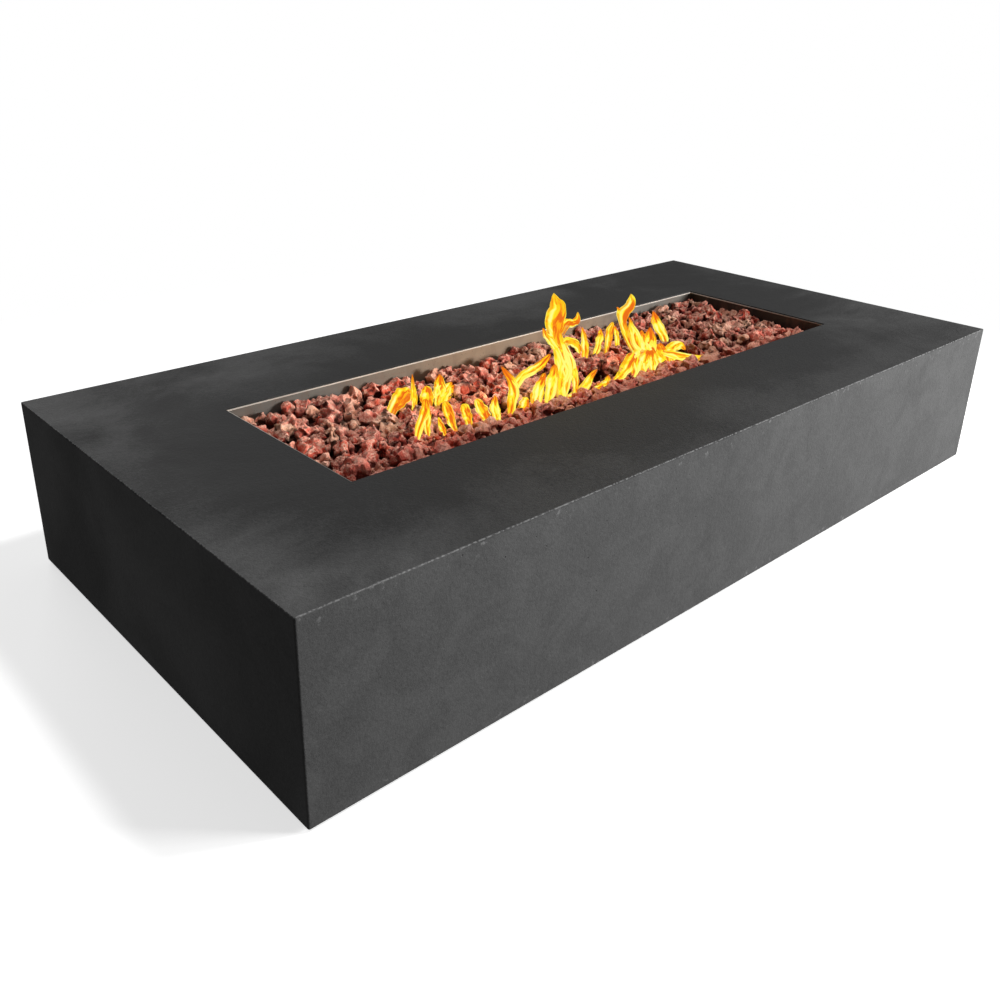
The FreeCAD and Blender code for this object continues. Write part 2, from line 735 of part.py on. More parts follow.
def burner_supports():
    supports = []
    for x, y in support_places():
        foot = block(x - SUPPORT_FOOT / 2, x + SUPPORT_FOOT / 2, y - SUPPORT_WIDTH / 2,
                     y + SUPPORT_WIDTH / 2, PAN_FLOOR, PAN_FLOOR + SUPPORT_SHEET)
        web = block(x - SUPPORT_SHEET / 2, x + SUPPORT_SHEET / 2, y - SUPPORT_WIDTH / 2,
                    y + SUPPORT_WIDTH / 2, PAN_FLOOR, TUBE_Z)
        tube = rod(V(x - SUPPORT_FOOT, y, TUBE_Z), RIGHT, TUBE_RADIUS + FIT, 2 * SUPPORT_FOOT)
        supports.append(joined([foot, web]).cut(tube))
    return supports


# Elbow, mixer and orifice under the pan

def inlet_elbow():
    start = V(0, 0, ELBOW_Z)
    corner = Part.makeSphere(TEE_RADIUS, start)
    leg = rod(start, UP, TEE_RADIUS, NIPPLE_BOTTOM + TEE_GRIP - ELBOW_Z)
    arm = rod(start, RIGHT, TEE_RADIUS, ELBOW_REACH)
    way = rod(start, UP, TUBE_RADIUS - TUBE_WALL, NIPPLE_BOTTOM - ELBOW_Z + FIT)
    arm_way = rod(start, RIGHT, TUBE_RADIUS - TUBE_WALL, ELBOW_REACH + CUT_PAST)
    turn = Part.makeSphere(TUBE_RADIUS - TUBE_WALL, start)
    socket = rod(V(0, 0, NIPPLE_BOTTOM), UP, TUBE_RADIUS + FIT, TEE_GRIP + CUT_PAST)
    arm_socket = rod(V(ELBOW_REACH - TEE_GRIP, 0, ELBOW_Z), RIGHT, TUBE_RADIUS + FIT,
                     TEE_GRIP + CUT_PAST)
    return without(joined([corner, leg, arm]), [joined([way, arm_way, turn]), socket, arm_socket])


def air_mixer():
    spigot = rod(V(MIXER_START - TEE_GRIP, 0, ELBOW_Z), RIGHT, TUBE_RADIUS, TEE_GRIP)
    body = rod(V(MIXER_START, 0, ELBOW_Z), RIGHT, TEE_RADIUS, MIXER_LENGTH)
    bore = rod(V(MIXER_START - TEE_GRIP - CUT_PAST, 0, ELBOW_Z), RIGHT, MIXER_BORE,
               MIXER_LENGTH + TEE_GRIP + 2 * CUT_PAST)
    slot_start = MIXER_END - 2 * MIXER_SLOT_LENGTH
    across = block(slot_start, slot_start + MIXER_SLOT_LENGTH, -TEE_RADIUS - 1, TEE_RADIUS + 1,
                   ELBOW_Z - MIXER_SLOT_WIDTH / 2, ELBOW_Z + MIXER_SLOT_WIDTH / 2)
    upright = block(slot_start, slot_start + MIXER_SLOT_LENGTH, -MIXER_SLOT_WIDTH / 2,
                    MIXER_SLOT_WIDTH / 2, ELBOW_Z - TEE_RADIUS - 1, ELBOW_Z + TEE_RADIUS + 1)
    return without(joined([spigot, body]), [bore, across, upright])


def orifice_fitting():
    head = hexagon(V(MIXER_END, 0, ELBOW_Z), RIGHT, ORIFICE_FLATS, ORIFICE_LENGTH)
    nose = rod(V(MIXER_END - TEE_GRIP, 0, ELBOW_Z), RIGHT, MIXER_BORE - FIT, TEE_GRIP)
    end = rod(V(ORIFICE_END, 0, ELBOW_Z), RIGHT, FLARE_RADIUS, FLARE_LENGTH)
    bore = rod(V(MIXER_END - TEE_GRIP - CUT_PAST, 0, ELBOW_Z), RIGHT, ORIFICE_BORE,
               TEE_GRIP + ORIFICE_LENGTH + FLARE_LENGTH + 2 * CUT_PAST)
    return without(joined([head, nose, end]), [bore])


# Valve, elbow and hoses

def valve_axis(x):
    return V(x, VALVE_PLACE, BOX_MIDDLE_HEIGHT)


def gas_valve_body():
    half = VALVE_SIZE / 2
    body = block(VALVE_REAR, VALVE_FRONT, VALVE_PLACE - half, VALVE_PLACE + half,
                 BOX_MIDDLE_HEIGHT - half, BOX_MIDDLE_HEIGHT + half)
    neck = rod(valve_axis(VALVE_FRONT), RIGHT, NECK_RADIUS, BOX_BACK + NECK_PROUD - VALVE_FRONT)
    outlet = rod(valve_axis(VALVE_REAR), LEFT, FLARE_RADIUS, FLARE_LENGTH)
    port = rod(V(VALVE_X, VALVE_PLACE - half, BOX_MIDDLE_HEIGHT), FRONT, THERMO_PORT_RADIUS,
               THERMO_PORT_LENGTH)
    chamber = rod(valve_axis(CHAMBER_START), RIGHT, CHAMBER_RADIUS, CHAMBER_LENGTH)
    stem_way = rod(valve_axis(CHAMBER_START - STEM_TAIL - VALVE_PUSH - SEAT), RIGHT,
                   STEM_RADIUS + RUN, KNOB_FRONT)
    way = rod(valve_axis(VALVE_REAR - FLARE_LENGTH - CUT_PAST), RIGHT, STEM_RADIUS - 1,
              CHAMBER_START - VALVE_REAR + FLARE_LENGTH + CUT_PAST)
    return without(joined([body, neck, outlet, port]), [chamber, stem_way, way])


def valve_stem():
    start = CHAMBER_START - STEM_TAIL
    end = KNOB_REAR + KNOB_BORE_DEPTH - SEAT
    shaft = rod(valve_axis(start), RIGHT, STEM_RADIUS, end - start)
    collar = rod(valve_axis(COLLAR_FRONT - STEM_COLLAR_LENGTH), RIGHT, STEM_COLLAR_RADIUS,
                 STEM_COLLAR_LENGTH)
    return joined([shaft, collar])


def thrust_washer():
    return ring(valve_axis(WASHER_REAR), RIGHT, THRUST_WASHER_RADIUS, STEM_RADIUS + RUN,
                THRUST_WASHER_THICKNESS)


def coil_spring(start, length, radius):
    """A helix of tangent arcs along X, each arc halfway into both sides of its corner."""
    corners_per_turn = 8
    steps = SPRING_TURNS * corners_per_turn
    rise = (length - 2 * SPRING_WIRE) / (steps - 1)
    reach = radius / math.cos(math.pi / corners_per_turn)
    corners = []
    for step in range(steps + 1):
        angle = 2 * math.pi * step / corners_per_turn
        along = SPRING_WIRE + rise * (step - 0.5)
        corners.append(start + V(along, reach * math.cos(angle), reach * math.sin(angle)))
    half_side = (corners[1] - corners[0]).Length / 2
    arcs = [rounded_corner(before, corner, after, half_side)[1]
            for before, corner, after in zip(corners, corners[1:], corners[2:])]
    first = (corners[0] + corners[1]) * 0.5
    circle = Part.Wire(Part.Circle(first, (corners[1] - corners[0]).normalize(), SPRING_WIRE).toShape())
    return Part.Wire(arcs).makePipeShell([circle], True, False)


def valve_spring():
    length = WASHER_REAR - SEAT - (CHAMBER_START + SEAT)
    return coil_spring(valve_axis(CHAMBER_START + SEAT), length, SPRING_RADIUS)


def panel_nut():
    return nut(valve_axis(BOX_BACK), RIGHT, PANEL_NUT_FLATS, NECK_RADIUS + FIT, PANEL_NUT_HEIGHT)


def valve_elbow():
    top = V(VALVE_X, VALVE_PLACE, VALVE_BOTTOM)
    corner = V(VALVE_X, VALVE_PLACE, VALVE_ELBOW_Z)
    leg = rod(top, DOWN, VALVE_ELBOW_RADIUS, VALVE_ELBOW_DROP)
    ball = Part.makeSphere(VALVE_ELBOW_RADIUS, corner)
    end = rod(corner, BACK, FLARE_RADIUS, VALVE_ELBOW_RADIUS + FLARE_LENGTH)
    drop = rod(top, DOWN, FLARE_BORE, VALVE_ELBOW_DROP)
    turn = Part.makeSphere(FLARE_BORE, corner)
    out = rod(corner, BACK, FLARE_BORE, VALVE_ELBOW_RADIUS + FLARE_LENGTH + CUT_PAST)
    return without(joined([leg, ball, end]), [joined([drop, turn, out])])


def control_knob():
    skirt = rod(valve_axis(KNOB_REAR), RIGHT, KNOB_RADIUS, KNOB_SKIRT)
    skirt = skirt.makeFillet(FIT * 10, edges_where(skirt, is_front_ring))
    grip = block(KNOB_REAR, KNOB_FRONT, VALVE_PLACE - KNOB_GRIP_WIDTH / 2,
                 VALVE_PLACE + KNOB_GRIP_WIDTH / 2, BOX_MIDDLE_HEIGHT - KNOB_RADIUS,
                 BOX_MIDDLE_HEIGHT + KNOB_RADIUS)
    grip = grip.common(rod(valve_axis(KNOB_REAR), RIGHT, KNOB_RADIUS - 1, KNOB_LENGTH))
    bore = rod(valve_axis(KNOB_REAR - CUT_PAST), RIGHT, STEM_RADIUS + FIT,
               KNOB_BORE_DEPTH + CUT_PAST)
    mark = block(KNOB_FRONT - KNOB_MARK_DEPTH, KNOB_FRONT + CUT_PAST,
                 VALVE_PLACE - KNOB_MARK_WIDTH / 2, VALVE_PLACE + KNOB_MARK_WIDTH / 2,
                 BOX_MIDDLE_HEIGHT, BOX_MIDDLE_HEIGHT + KNOB_RADIUS)
    return without(joined([skirt, grip]), [bore, mark])


def is_front_ring(edge):
    box = edge.BoundBox
    return box.XLength < FIT and abs(box.XMin - KNOB_REAR - KNOB_SKIRT) < FIT


def hose_nut(face, direction):
    length = NUT_LENGTH
    start = face + direction * (FIT - FLARE_LENGTH)
    body = hexagon(start, direction, NUT_FLATS, length)
    wide = rod(start - direction * CUT_PAST, direction, FLARE_RADIUS + FIT,
               FLARE_LENGTH + SEAT + CUT_PAST)
    narrow = rod(start, direction, HOSE_RADIUS + FIT, length + CUT_PAST)
    return without(body, [wide, narrow])


def hose_ends():
    return [
        (V(ORIFICE_END + FLARE_LENGTH, 0, ELBOW_Z), RIGHT),
        (valve_axis(VALVE_REAR - FLARE_LENGTH), LEFT),
        (V(VALVE_X, VALVE_PLACE + VALVE_ELBOW_RADIUS + FLARE_LENGTH, VALVE_ELBOW_Z), BACK),
        (V(INLET_X, inlet_inner_face(), INLET_HEIGHT), FRONT),
    ]


def hose_nuts():
    return [hose_nut(face, direction) for face, direction in hose_ends()]


def burner_hose():
    (mixer_face, mixer_out), (valve_face, valve_out) = hose_ends()[:2]
    start = mixer_face + mixer_out * SEAT
    end = valve_face + valve_out * SEAT
    points = [start, start + RIGHT * HOSE_LEAD_OUT, start + V(130, 16, -14), start + V(240, 36, -28),
              end + V(-200, -26, -22), end + V(-110, -10, -10), end + LEFT * HOSE_LEAD_OUT, end]
    return hose(points, HOSE_RADIUS, HOSE_WALL, "burner_hose")


def inlet_hose():
    (valve_face, valve_out), (inlet_face, inlet_out) = hose_ends()[2:]
    start = valve_face + valve_out * SEAT
    end = inlet_face + inlet_out * SEAT
    points = [start, start + BACK * HOSE_LEAD_OUT, start + V(-16, 118, -12), end + V(16, -118, 10),
              end + FRONT * HOSE_LEAD_OUT, end]
    return hose(points, HOSE_RADIUS, HOSE_WALL, "inlet_hose")


# Control box

def control_box():
    half_width = BOX_WIDTH / 2
    half_height = BOX_HEIGHT / 2
    middle = BOX_MIDDLE_HEIGHT
    outer = block(BOX_REAR, BOX_FACE, -half_width - BOX_SHEET, half_width + BOX_SHEET,
                  middle - half_height - BOX_SHEET, middle + half_height + BOX_SHEET)
    rim_width = half_width + BOX_SHEET + BOX_FLANGE
    rim_height = half_height + BOX_SHEET + BOX_FLANGE
    rim = block(BOX_FACE - BOX_SHEET, BOX_FACE, -rim_width, rim_width,
                middle - rim_height, middle + rim_height)
    inner = block(BOX_BACK, BOX_FACE + CUT_PAST, -half_width, half_width,
                  middle - half_height, middle + half_height)
    neck_hole = rod(valve_axis(BOX_REAR - CUT_PAST), RIGHT, NECK_RADIUS + FIT, 3 * CUT_PAST)
    igniter_hole = rod(igniter_axis(BOX_REAR - CUT_PAST), RIGHT, IGNITER_RADIUS + FIT, 3 * CUT_PAST)
    sinks = [countersink(V(BOX_FACE, y, z), LEFT) for y, z in box_screw_places()]
    return without(joined([outer, rim]), [inner, neck_hole, igniter_hole] + sinks)


# Igniter, electrode and flame sensor

def igniter_axis(x):
    return V(x, IGNITER_PLACE, BOX_MIDDLE_HEIGHT)


def igniter_body():
    barrel = rod(igniter_axis(IGNITER_REAR), RIGHT, IGNITER_RADIUS, BEZEL_FACE - IGNITER_REAR)
    bezel = rod(igniter_axis(BOX_BACK), RIGHT, IGNITER_BEZEL_RADIUS, IGNITER_BEZEL)
    chamber = rod(igniter_axis(IGNITER_START), RIGHT, IGNITER_CHAMBER_RADIUS,
                  LIP_REAR - IGNITER_START)
    mouth = rod(igniter_axis(IGNITER_START), RIGHT, BUTTON_RADIUS + RUN, IGNITER_LENGTH + CUT_PAST)
    return without(joined([barrel, bezel]), [chamber, mouth])


def igniter_nut():
    return nut(igniter_axis(BOX_REAR), LEFT, IGNITER_NUT_FLATS, IGNITER_RADIUS + FIT,
               IGNITER_NUT_HEIGHT)


def igniter_button():
    collar = rod(igniter_axis(BUTTON_REAR), RIGHT, BUTTON_COLLAR_RADIUS, BUTTON_COLLAR)
    shaft = rod(igniter_axis(BUTTON_REAR), RIGHT, BUTTON_RADIUS,
                BEZEL_FACE + BUTTON_PROUD - BUTTON_REAR)
    return joined([collar, shaft])


def igniter_spring():
    start = IGNITER_START + SEAT
    return coil_spring(igniter_axis(start), BUTTON_REAR - SEAT - start, SPRING_RADIUS)


def electrode():
    body = rod(V(ELECTRODE_X, ELECTRODE_Y, ELECTRODE_BOTTOM), UP, INSULATOR_RADIUS, INSULATOR_LENGTH)
    return body


def electrode_rod():
    top = ELECTRODE_BOTTOM + INSULATOR_LENGTH
    return rod(V(ELECTRODE_X, ELECTRODE_Y, top), UP, ROD_RADIUS, ROD_PROUD)


def flame_sensor():
    top = ELECTRODE_BOTTOM + INSULATOR_LENGTH + ROD_PROUD
    return rod(V(SENSOR_X, ELECTRODE_Y, ELECTRODE_BOTTOM), UP, SENSOR_RADIUS, top - ELECTRODE_BOTTOM)


def ignition_bracket():
    left = ELECTRODE_X - BRACKET_WIDTH / 2
    right = SENSOR_X + BRACKET_WIDTH / 2
    near = ELECTRODE_Y - BRACKET_WIDTH / 2
    far = ELECTRODE_Y + BRACKET_WIDTH / 2
    foot = block(left, right, near, far, PAN_FLOOR, PAN_FLOOR + BRACKET_SHEET)
    top = PAN_FLOOR + BRACKET_RISE
    riser = block(left, right, far - BRACKET_SHEET, far, PAN_FLOOR, top)
    shelf = block(left, right, near, far, top - BRACKET_SHEET, top)
    holes = [rod(V(ELECTRODE_X, ELECTRODE_Y, PAN_BOTTOM), UP, INSULATOR_RADIUS + FIT, BRACKET_RISE * 2),
             rod(V(SENSOR_X, ELECTRODE_Y, PAN_BOTTOM), UP, SENSOR_RADIUS + FIT, BRACKET_RISE * 2)]
    return without(joined([foot, riser, shelf]), holes)


def lead_boot():
    return rod(V(ELECTRODE_X, ELECTRODE_Y, ELECTRODE_BOTTOM), DOWN, BOOT_RADIUS, BOOT_LENGTH)


def ignition_lead():
    start = V(ELECTRODE_X, ELECTRODE_Y, ELECTRODE_BOTTOM - BOOT_LENGTH)
    end = igniter_axis(IGNITER_REAR)
    points = [start, start + V(0, 0, -20), start + V(20, 12, -44), start + V(76, 34, -50),
              start + V(146, 50, -52), start + V(214, 60, -58), start + V(288, 72, -62),
              end + V(-330, 6, -16), end + V(-256, 12, -18), end + V(-184, 10, -10),
              end + V(-112, 5, -5), end + V(-46, 0, 0), end]
    return cable(points, LEAD_RADIUS, "ignition_lead")


def sensor_lead():
    start = V(SENSOR_X, ELECTRODE_Y, ELECTRODE_BOTTOM)
    end = V(VALVE_X, VALVE_PLACE - VALVE_SIZE / 2 - THERMO_PORT_LENGTH, BOX_MIDDLE_HEIGHT)
    points = [start, start + V(0, 0, -18), start + V(14, -14, -42), start + V(52, -38, -52),
              start + V(108, -56, -54), start + V(166, -68, -55), start + V(224, -76, -58),
              start + V(284, -84, -57), start + V(342, -90, -60), end + V(-292, -64, 0),
              end + V(-232, -68, -2), end + V(-172, -66, -1), end + V(-112, -58, -2),
              end + V(-54, -52, -1), end + V(-12, -40, 0), end + V(0, -16, 0), end]
    return cable(points, SENSOR_LEAD_RADIUS, "sensor_lead")


# Gas inlet

def inlet_inner_face():
    return BACK_INNER - INLET_PLATE_SHEET - LOCKNUT_HEIGHT - FLARE_LENGTH


def inlet_plate():
    half = INLET_PLATE_WIDTH / 2
    plate = block(INLET_X - half, INLET_X + half, BACK_INNER - INLET_PLATE_SHEET, BACK_INNER,
                  INLET_PLATE_BOTTOM, INLET_PLATE_TOP)
    holes = [rod(V(x, BACK_INNER - CUT_PAST, z), BACK, BOLT_RADIUS + FIT, 2 * CUT_PAST)
             for x, z in inlet_bolt_places()]
    holes.append(rod(V(INLET_X, BACK_INNER - CUT_PAST, INLET_HEIGHT), BACK,
                     INLET_THREAD_RADIUS + FIT, 2 * CUT_PAST))
    return without(plate, holes)


def gas_inlet_fitting():
    start = V(INLET_X, inlet_inner_face(), INLET_HEIGHT)
    inner = rod(start, BACK, FLARE_RADIUS, FLARE_LENGTH)
    thread = rod(start + BACK * FLARE_LENGTH, BACK, INLET_THREAD_RADIUS,
                 LOCKNUT_HEIGHT + INLET_PLATE_SHEET)
    collar = hexagon(V(INLET_X, BACK_INNER, INLET_HEIGHT), BACK, INLET_HEX_FLATS, INLET_HEX)
    outer = rod(V(INLET_X, BACK_INNER + INLET_HEX, INLET_HEIGHT), BACK, FLARE_RADIUS, FLARE_LENGTH)
    bore = rod(start - BACK * CUT_PAST, BACK, FLARE_BORE, WALL + 2 * FLARE_LENGTH + LOCKNUT_HEIGHT)
    return without(joined([inner, thread, collar, outer]), [bore])


def inlet_locknut():
    face = BACK_INNER - INLET_PLATE_SHEET
    return nut(V(INLET_X, face, INLET_HEIGHT), FRONT, INLET_HEX_FLATS + 2,
               INLET_THREAD_RADIUS + FIT, LOCKNUT_HEIGHT)


# Vents

def vent_plates():
    plates = []
    face = BACK_FACE - BOX_SET_BACK
    for middle in VENT_PLACES:
        half = VENT_WIDTH / 2 + VENT_FLANGE
        low = VENT_MIDDLE_HEIGHT - VENT_HEIGHT / 2 - VENT_FLANGE
        high = VENT_MIDDLE_HEIGHT + VENT_HEIGHT / 2 + VENT_FLANGE
        plate = block(middle - half, middle + half, face - VENT_SHEET, face, low, high)
        first = middle - VENT_SLOT_PITCH * (VENT_SLOT_COUNT - 1) / 2
        cutters = []
        for step in range(VENT_SLOT_COUNT):
            x = first + step * VENT_SLOT_PITCH
            cutters.append(block(x - VENT_SLOT_WIDTH / 2, x + VENT_SLOT_WIDTH / 2,
                                 face - CUT_PAST, face + CUT_PAST,
                                 low + VENT_FLANGE + CUT_PAST, high - VENT_FLANGE - CUT_PAST))
        for x, z in vent_screw_places():
            if abs(x - middle) < half:
                cutters.append(countersink(V(x, face, z), FRONT))
        plates.append(without(plate, cutters))
    return plates


# Flames, each a tongue that stands on a burner tube

def flame_half_width(width, share):
    """Narrow at the foot, widest below the middle, drawn out to a point."""
    if share < 0.3:
        return width / 2 * (FLAME_FOOT + (1 - FLAME_FOOT) * share / 0.3)
    return max(width / 2 * ((1 - share) / 0.7) ** 0.9, FLAME_TIP)


def flame_outline(base, height, width, lean, share):
    half = flame_half_width(width, share)
    thick = min(half * 0.8, FLAME_HALF_THICKNESS)
    sway = lean * share + 0.1 * width * math.sin(2 * math.pi * share)
    centre = base + V(sway, 0, height * share)
    return Part.Wire(Part.Ellipse(centre, half, thick).toShape())


def flame(side, x, height, width, lean, sheet):
    base = V(x, side * TUBE_Y + sheet * FLAME_SHEET_OFFSET, TUBE_TOP + SEAT)
    outlines = [flame_outline(base, height, width, lean, share) for share in FLAME_SHARES]
    return Part.makeLoft(outlines, True, False)


def flames():
    tongues = [flame(-1, *row) for row in FRONT_FLAMES]
    return tongues + [flame(1, *row) for row in REAR_FLAMES]


# Lava filler and lava rock

def pan_inside(margin):
    return (PAN_LENGTH / 2 - PAN_SHEET - margin, PAN_WIDTH / 2 - PAN_SHEET - margin)


def lava_filler():
    long_half, short_half = pan_inside(SEAT)
    bed = centred_block(2 * long_half, 2 * short_half, PAN_FLOOR, FILLER_TOP)
    bed = bed.makeFillet(PAN_CORNER_RADIUS, edges_where(bed, is_upright))
    pockets = [rod(V(0, 0, PAN_FLOOR - CUT_PAST), UP, PAN_WASHER_RADIUS + SEAT,
                   FILLER_DEPTH + 2 * CUT_PAST)]
    for x, y in support_places():
        pockets.append(block(x - SUPPORT_FOOT / 2 - SEAT, x + SUPPORT_FOOT / 2 + SEAT,
                             y - SUPPORT_WIDTH / 2 - SEAT, y + SUPPORT_WIDTH / 2 + SEAT,
                             PAN_FLOOR - CUT_PAST, FILLER_TOP + CUT_PAST))
    half = BRACKET_WIDTH / 2 + SEAT
    pockets.append(block(ELECTRODE_X - half, SENSOR_X + half, ELECTRODE_Y - half,
                         ELECTRODE_Y + half, PAN_FLOOR - CUT_PAST, FILLER_TOP + CUT_PAST))
    return without(bed, pockets)


class Hull:
    """A convex body as corners, edges and faces, with the box round it."""

    def __init__(self, corners, faces):
        self.corners = corners
        self.faces = faces
        self.edges = sorted({tuple(sorted(pair)) for face in faces
                             for pair in zip(face, face[1:] + face[:1])})
        self.low = [min(c[i] for c in corners) for i in range(3)]
        self.high = [max(c[i] for c in corners) for i in range(3)]

    def moved(self, shift):
        return Hull([[c[i] + shift[i] for i in range(3)] for c in self.corners], self.faces)


def icosahedron():
    golden = (1 + math.sqrt(5)) / 2
    corners = []
    for a in (-1, 1):
        for b in (-golden, golden):
            corners += [[0, a, b], [a, b, 0], [b, 0, a]]
    size = math.sqrt(1 + golden * golden)
    corners = [[value / size for value in corner] for corner in corners]
    near = 2 / size + 0.01
    faces = []
    for i in range(12):
        for j in range(i + 1, 12):
            for k in range(j + 1, 12):
                trio = (corners[i], corners[j], corners[k])
                if all(math.dist(p, q) < near for p, q in
                       ((trio[0], trio[1]), (trio[1], trio[2]), (trio[2], trio[0]))):
                    faces.append(outward([i, j, k], corners))
    return corners, faces


def normal_of(face, corners):
    a, b, c = (corners[i] for i in face)
    u = [b[i] - a[i] for i in range(3)]
    w = [c[i] - a[i] for i in range(3)]
    return [u[1] * w[2] - u[2] * w[1], u[2] * w[0] - u[0] * w[2], u[0] * w[1] - u[1] * w[0]]


def outward(face, corners):
    normal = normal_of(face, corners)
    corner = corners[face[0]]
    if sum(normal[i] * corner[i] for i in range(3)) < 0:
        return [face[0], face[2], face[1]]
    return face


def turned(point, angles):
    x, y, z = point
    for angle in angles:
        x, y, z = x * math.cos(angle) - y * math.sin(angle), x * math.sin(angle) + y * math.cos(angle), z
        x, y, z = y, z, x
    return [x, y, z]


def is_convex(corners, faces, slack):
    for face in faces:
        normal = normal_of(face, corners)
        length = math.sqrt(sum(value * value for value in normal))
        start = corners[face[0]]
        for index, corner in enumerate(corners):
            if index in face:
                continue
            reach = sum(normal[i] * (corner[i] - start[i]) for i in range(3)) / length
            if reach > -slack:
                return False
    return True


def rock_shape(dice, size):
    base, faces = icosahedron()
    while True:
        stretch = [dice.uniform(0.78, 1.25), dice.uniform(0.78, 1.1), dice.uniform(0.62, 0.9)]
        bumps = [dice.uniform(0.86, 1.1) for _ in base]
        angles = [dice.uniform(0, 2 * math.pi) for _ in range(3)]
        rough = [[value * bump for value in corner] for corner, bump in zip(base, bumps)]
        if not is_convex(rough, faces, 0.02):
            continue
        turned_corners = [turned(corner, angles) for corner in rough]
        corners = [[corner[i] * stretch[i] * size for i in range(3)] for corner in turned_corners]
        return Hull(corners, faces)


def inside_triangle(point, triangle):
    (ax, ay), (bx, by), (cx, cy) = triangle
    x, y = point
    first = (bx - ax) * (y - ay) - (by - ay) * (x - ax)
    second = (cx - bx) * (y - by) - (cy - by) * (x - bx)
    third = (ax - cx) * (y - cy) - (ay - cy) * (x - cx)
    return (first >= 0 and second >= 0 and third >= 0) or (first <= 0 and second <= 0 and third <= 0)


def height_on(face, corners, x, y):
    normal = normal_of(face, corners)
    if abs(normal[2]) < 1e-9:
        return None
    start = corners[face[0]]
    return start[2] - (normal[0] * (x - start[0]) + normal[1] * (y - start[1])) / normal[2]


def corner_drops(points, faces, corners, sign):
    drops = []
    for face in faces:
        triangle = [corners[i][:2] for i in face]
        low_x = min(p[0] for p in triangle)
        high_x = max(p[0] for p in triangle)
        low_y = min(p[1] for p in triangle)
        high_y = max(p[1] for p in triangle)
        for x, y, z in points:
            if low_x <= x <= high_x and low_y <= y <= high_y and inside_triangle((x, y), triangle):
                height = height_on(face, corners, x, y)
                if height is not None:
                    drops.append(sign * (z - height))
    return drops


def edge_drops(upper, lower):
    drops = []
    for i, j in upper.edges:
        ax, ay, az = upper.corners[i]
        bx, by, bz = upper.corners[j]
        for k, m in lower.edges:
            cx, cy, cz = lower.corners[k]
            dx, dy, dz = lower.corners[m]
            if max(ax, bx) < min(cx, dx) or max(cx, dx) < min(ax, bx):
                continue
            cross = (bx - ax) * (dy - cy) - (by - ay) * (dx - cx)
            if abs(cross) < 1e-9:
                continue
            first = ((cx - ax) * (dy - cy) - (cy - ay) * (dx - cx)) / cross
            second = ((cx - ax) * (by - ay) - (cy - ay) * (bx - ax)) / cross
            if 0 <= first <= 1 and 0 <= second <= 1:
                drops.append(az + first * (bz - az) - cz - second * (dz - cz))
    return drops


def faces_facing(hull, sign):
    return [face for face in hull.faces if sign * normal_of(face, hull.corners)[2] > 0]


def gap_between(upper, lower):
    """How far the upper body can fall before it meets the lower one, or None if it misses."""
    for i in (0, 1):
        if upper.low[i] > lower.high[i] or lower.low[i] > upper.high[i]:
            return None
    drops = corner_drops(upper.corners, faces_facing(lower, 1), lower.corners, 1)
    drops += corner_drops(lower.corners, faces_facing(upper, -1), upper.corners, -1)
    drops += edge_drops(upper, lower)
    return min(drops) if drops else None


def prism(x0, x1, y0, y1, z0, z1):
    corners = [[x, y, z] for x in (x0, x1) for y in (y0, y1) for z in (z0, z1)]
    faces = []
    for quad in ((0, 1, 3, 2), (4, 6, 7, 5), (0, 4, 5, 1), (2, 3, 7, 6), (0, 2, 6, 4), (1, 5, 7, 3)):
        faces += [[quad[0], quad[1], quad[2]], [quad[0], quad[2], quad[3]]]
    middle = [(x0 + x1) / 2, (y0 + y1) / 2, (z0 + z1) / 2]
    centred = [[c[i] - middle[i] for i in range(3)] for c in corners]
    return Hull(corners, [outward(face, centred) for face in faces])


def tube_hull(x0, x1, y, radius):
    sides = 12
    reach = radius / math.cos(math.pi / sides)
    corners = []
    for x in (x0, x1):
        for step in range(sides):
            angle = 2 * math.pi * step / sides
            corners.append([x, y + reach * math.cos(angle), TUBE_Z + reach * math.sin(angle)])
    faces = []
    for step in range(sides):
        after = (step + 1) % sides
        faces += [[step, after, after + sides], [step, after + sides, step + sides]]
        if 0 < step < sides - 1:
            faces += [[0, step, step + 1], [sides, sides + step, sides + step + 1]]
    middle = [(x0 + x1) / 2, y, TUBE_Z]
    centred = [[c[i] - middle[i] for i in range(3)] for c in corners]
    return Hull(corners, [outward(face, centred) for face in faces])


def burner_hulls():
    reach = BURNER_LENGTH / 2
    cap = TUBE_RADIUS + FIT + CAP_WALL
    hulls = [tube_hull(-reach, reach, side * TUBE_Y, TUBE_RADIUS) for side in (-1, 1)]
    for side in (-1, 1):
        hulls.append(tube_hull(-reach, -reach + CAP_LENGTH, side * TUBE_Y, cap))
        hulls.append(tube_hull(reach - CAP_LENGTH, reach, side * TUBE_Y, cap))
    hulls.append(prism(-TEE_RADIUS, TEE_RADIUS, -TUBE_Y, TUBE_Y, FILLER_TOP, TUBE_Z + TEE_RADIUS))
    for x, y in support_places():
        hulls.append(prism(x - SUPPORT_SHEET / 2, x + SUPPORT_SHEET / 2, y - SUPPORT_WIDTH / 2,
                           y + SUPPORT_WIDTH / 2, FILLER_TOP - 1, TUBE_Z))
    return hulls


def flame_keep_outs():
    """Upright columns that the rocks leave free: middle, half length and half width."""
    columns = []
    for side, rows in ((-1, FRONT_FLAMES), (1, REAR_FLAMES)):
        for x, height, width, lean, sheet in rows:
            low_lean = lean * min(1.0, ROCK_LARGE / height)
            columns.append((x + low_lean / 2, side * TUBE_Y + sheet * FLAME_SHEET_OFFSET,
                            width / 2 + abs(low_lean) / 2 + 1, FLAME_HALF_THICKNESS + 1))
    columns.append(((ELECTRODE_X + SENSOR_X) / 2, ELECTRODE_Y, SENSOR_ASIDE / 2 + BRACKET_WIDTH / 2 + 1,
                    BRACKET_WIDTH / 2 + 1))
    return columns


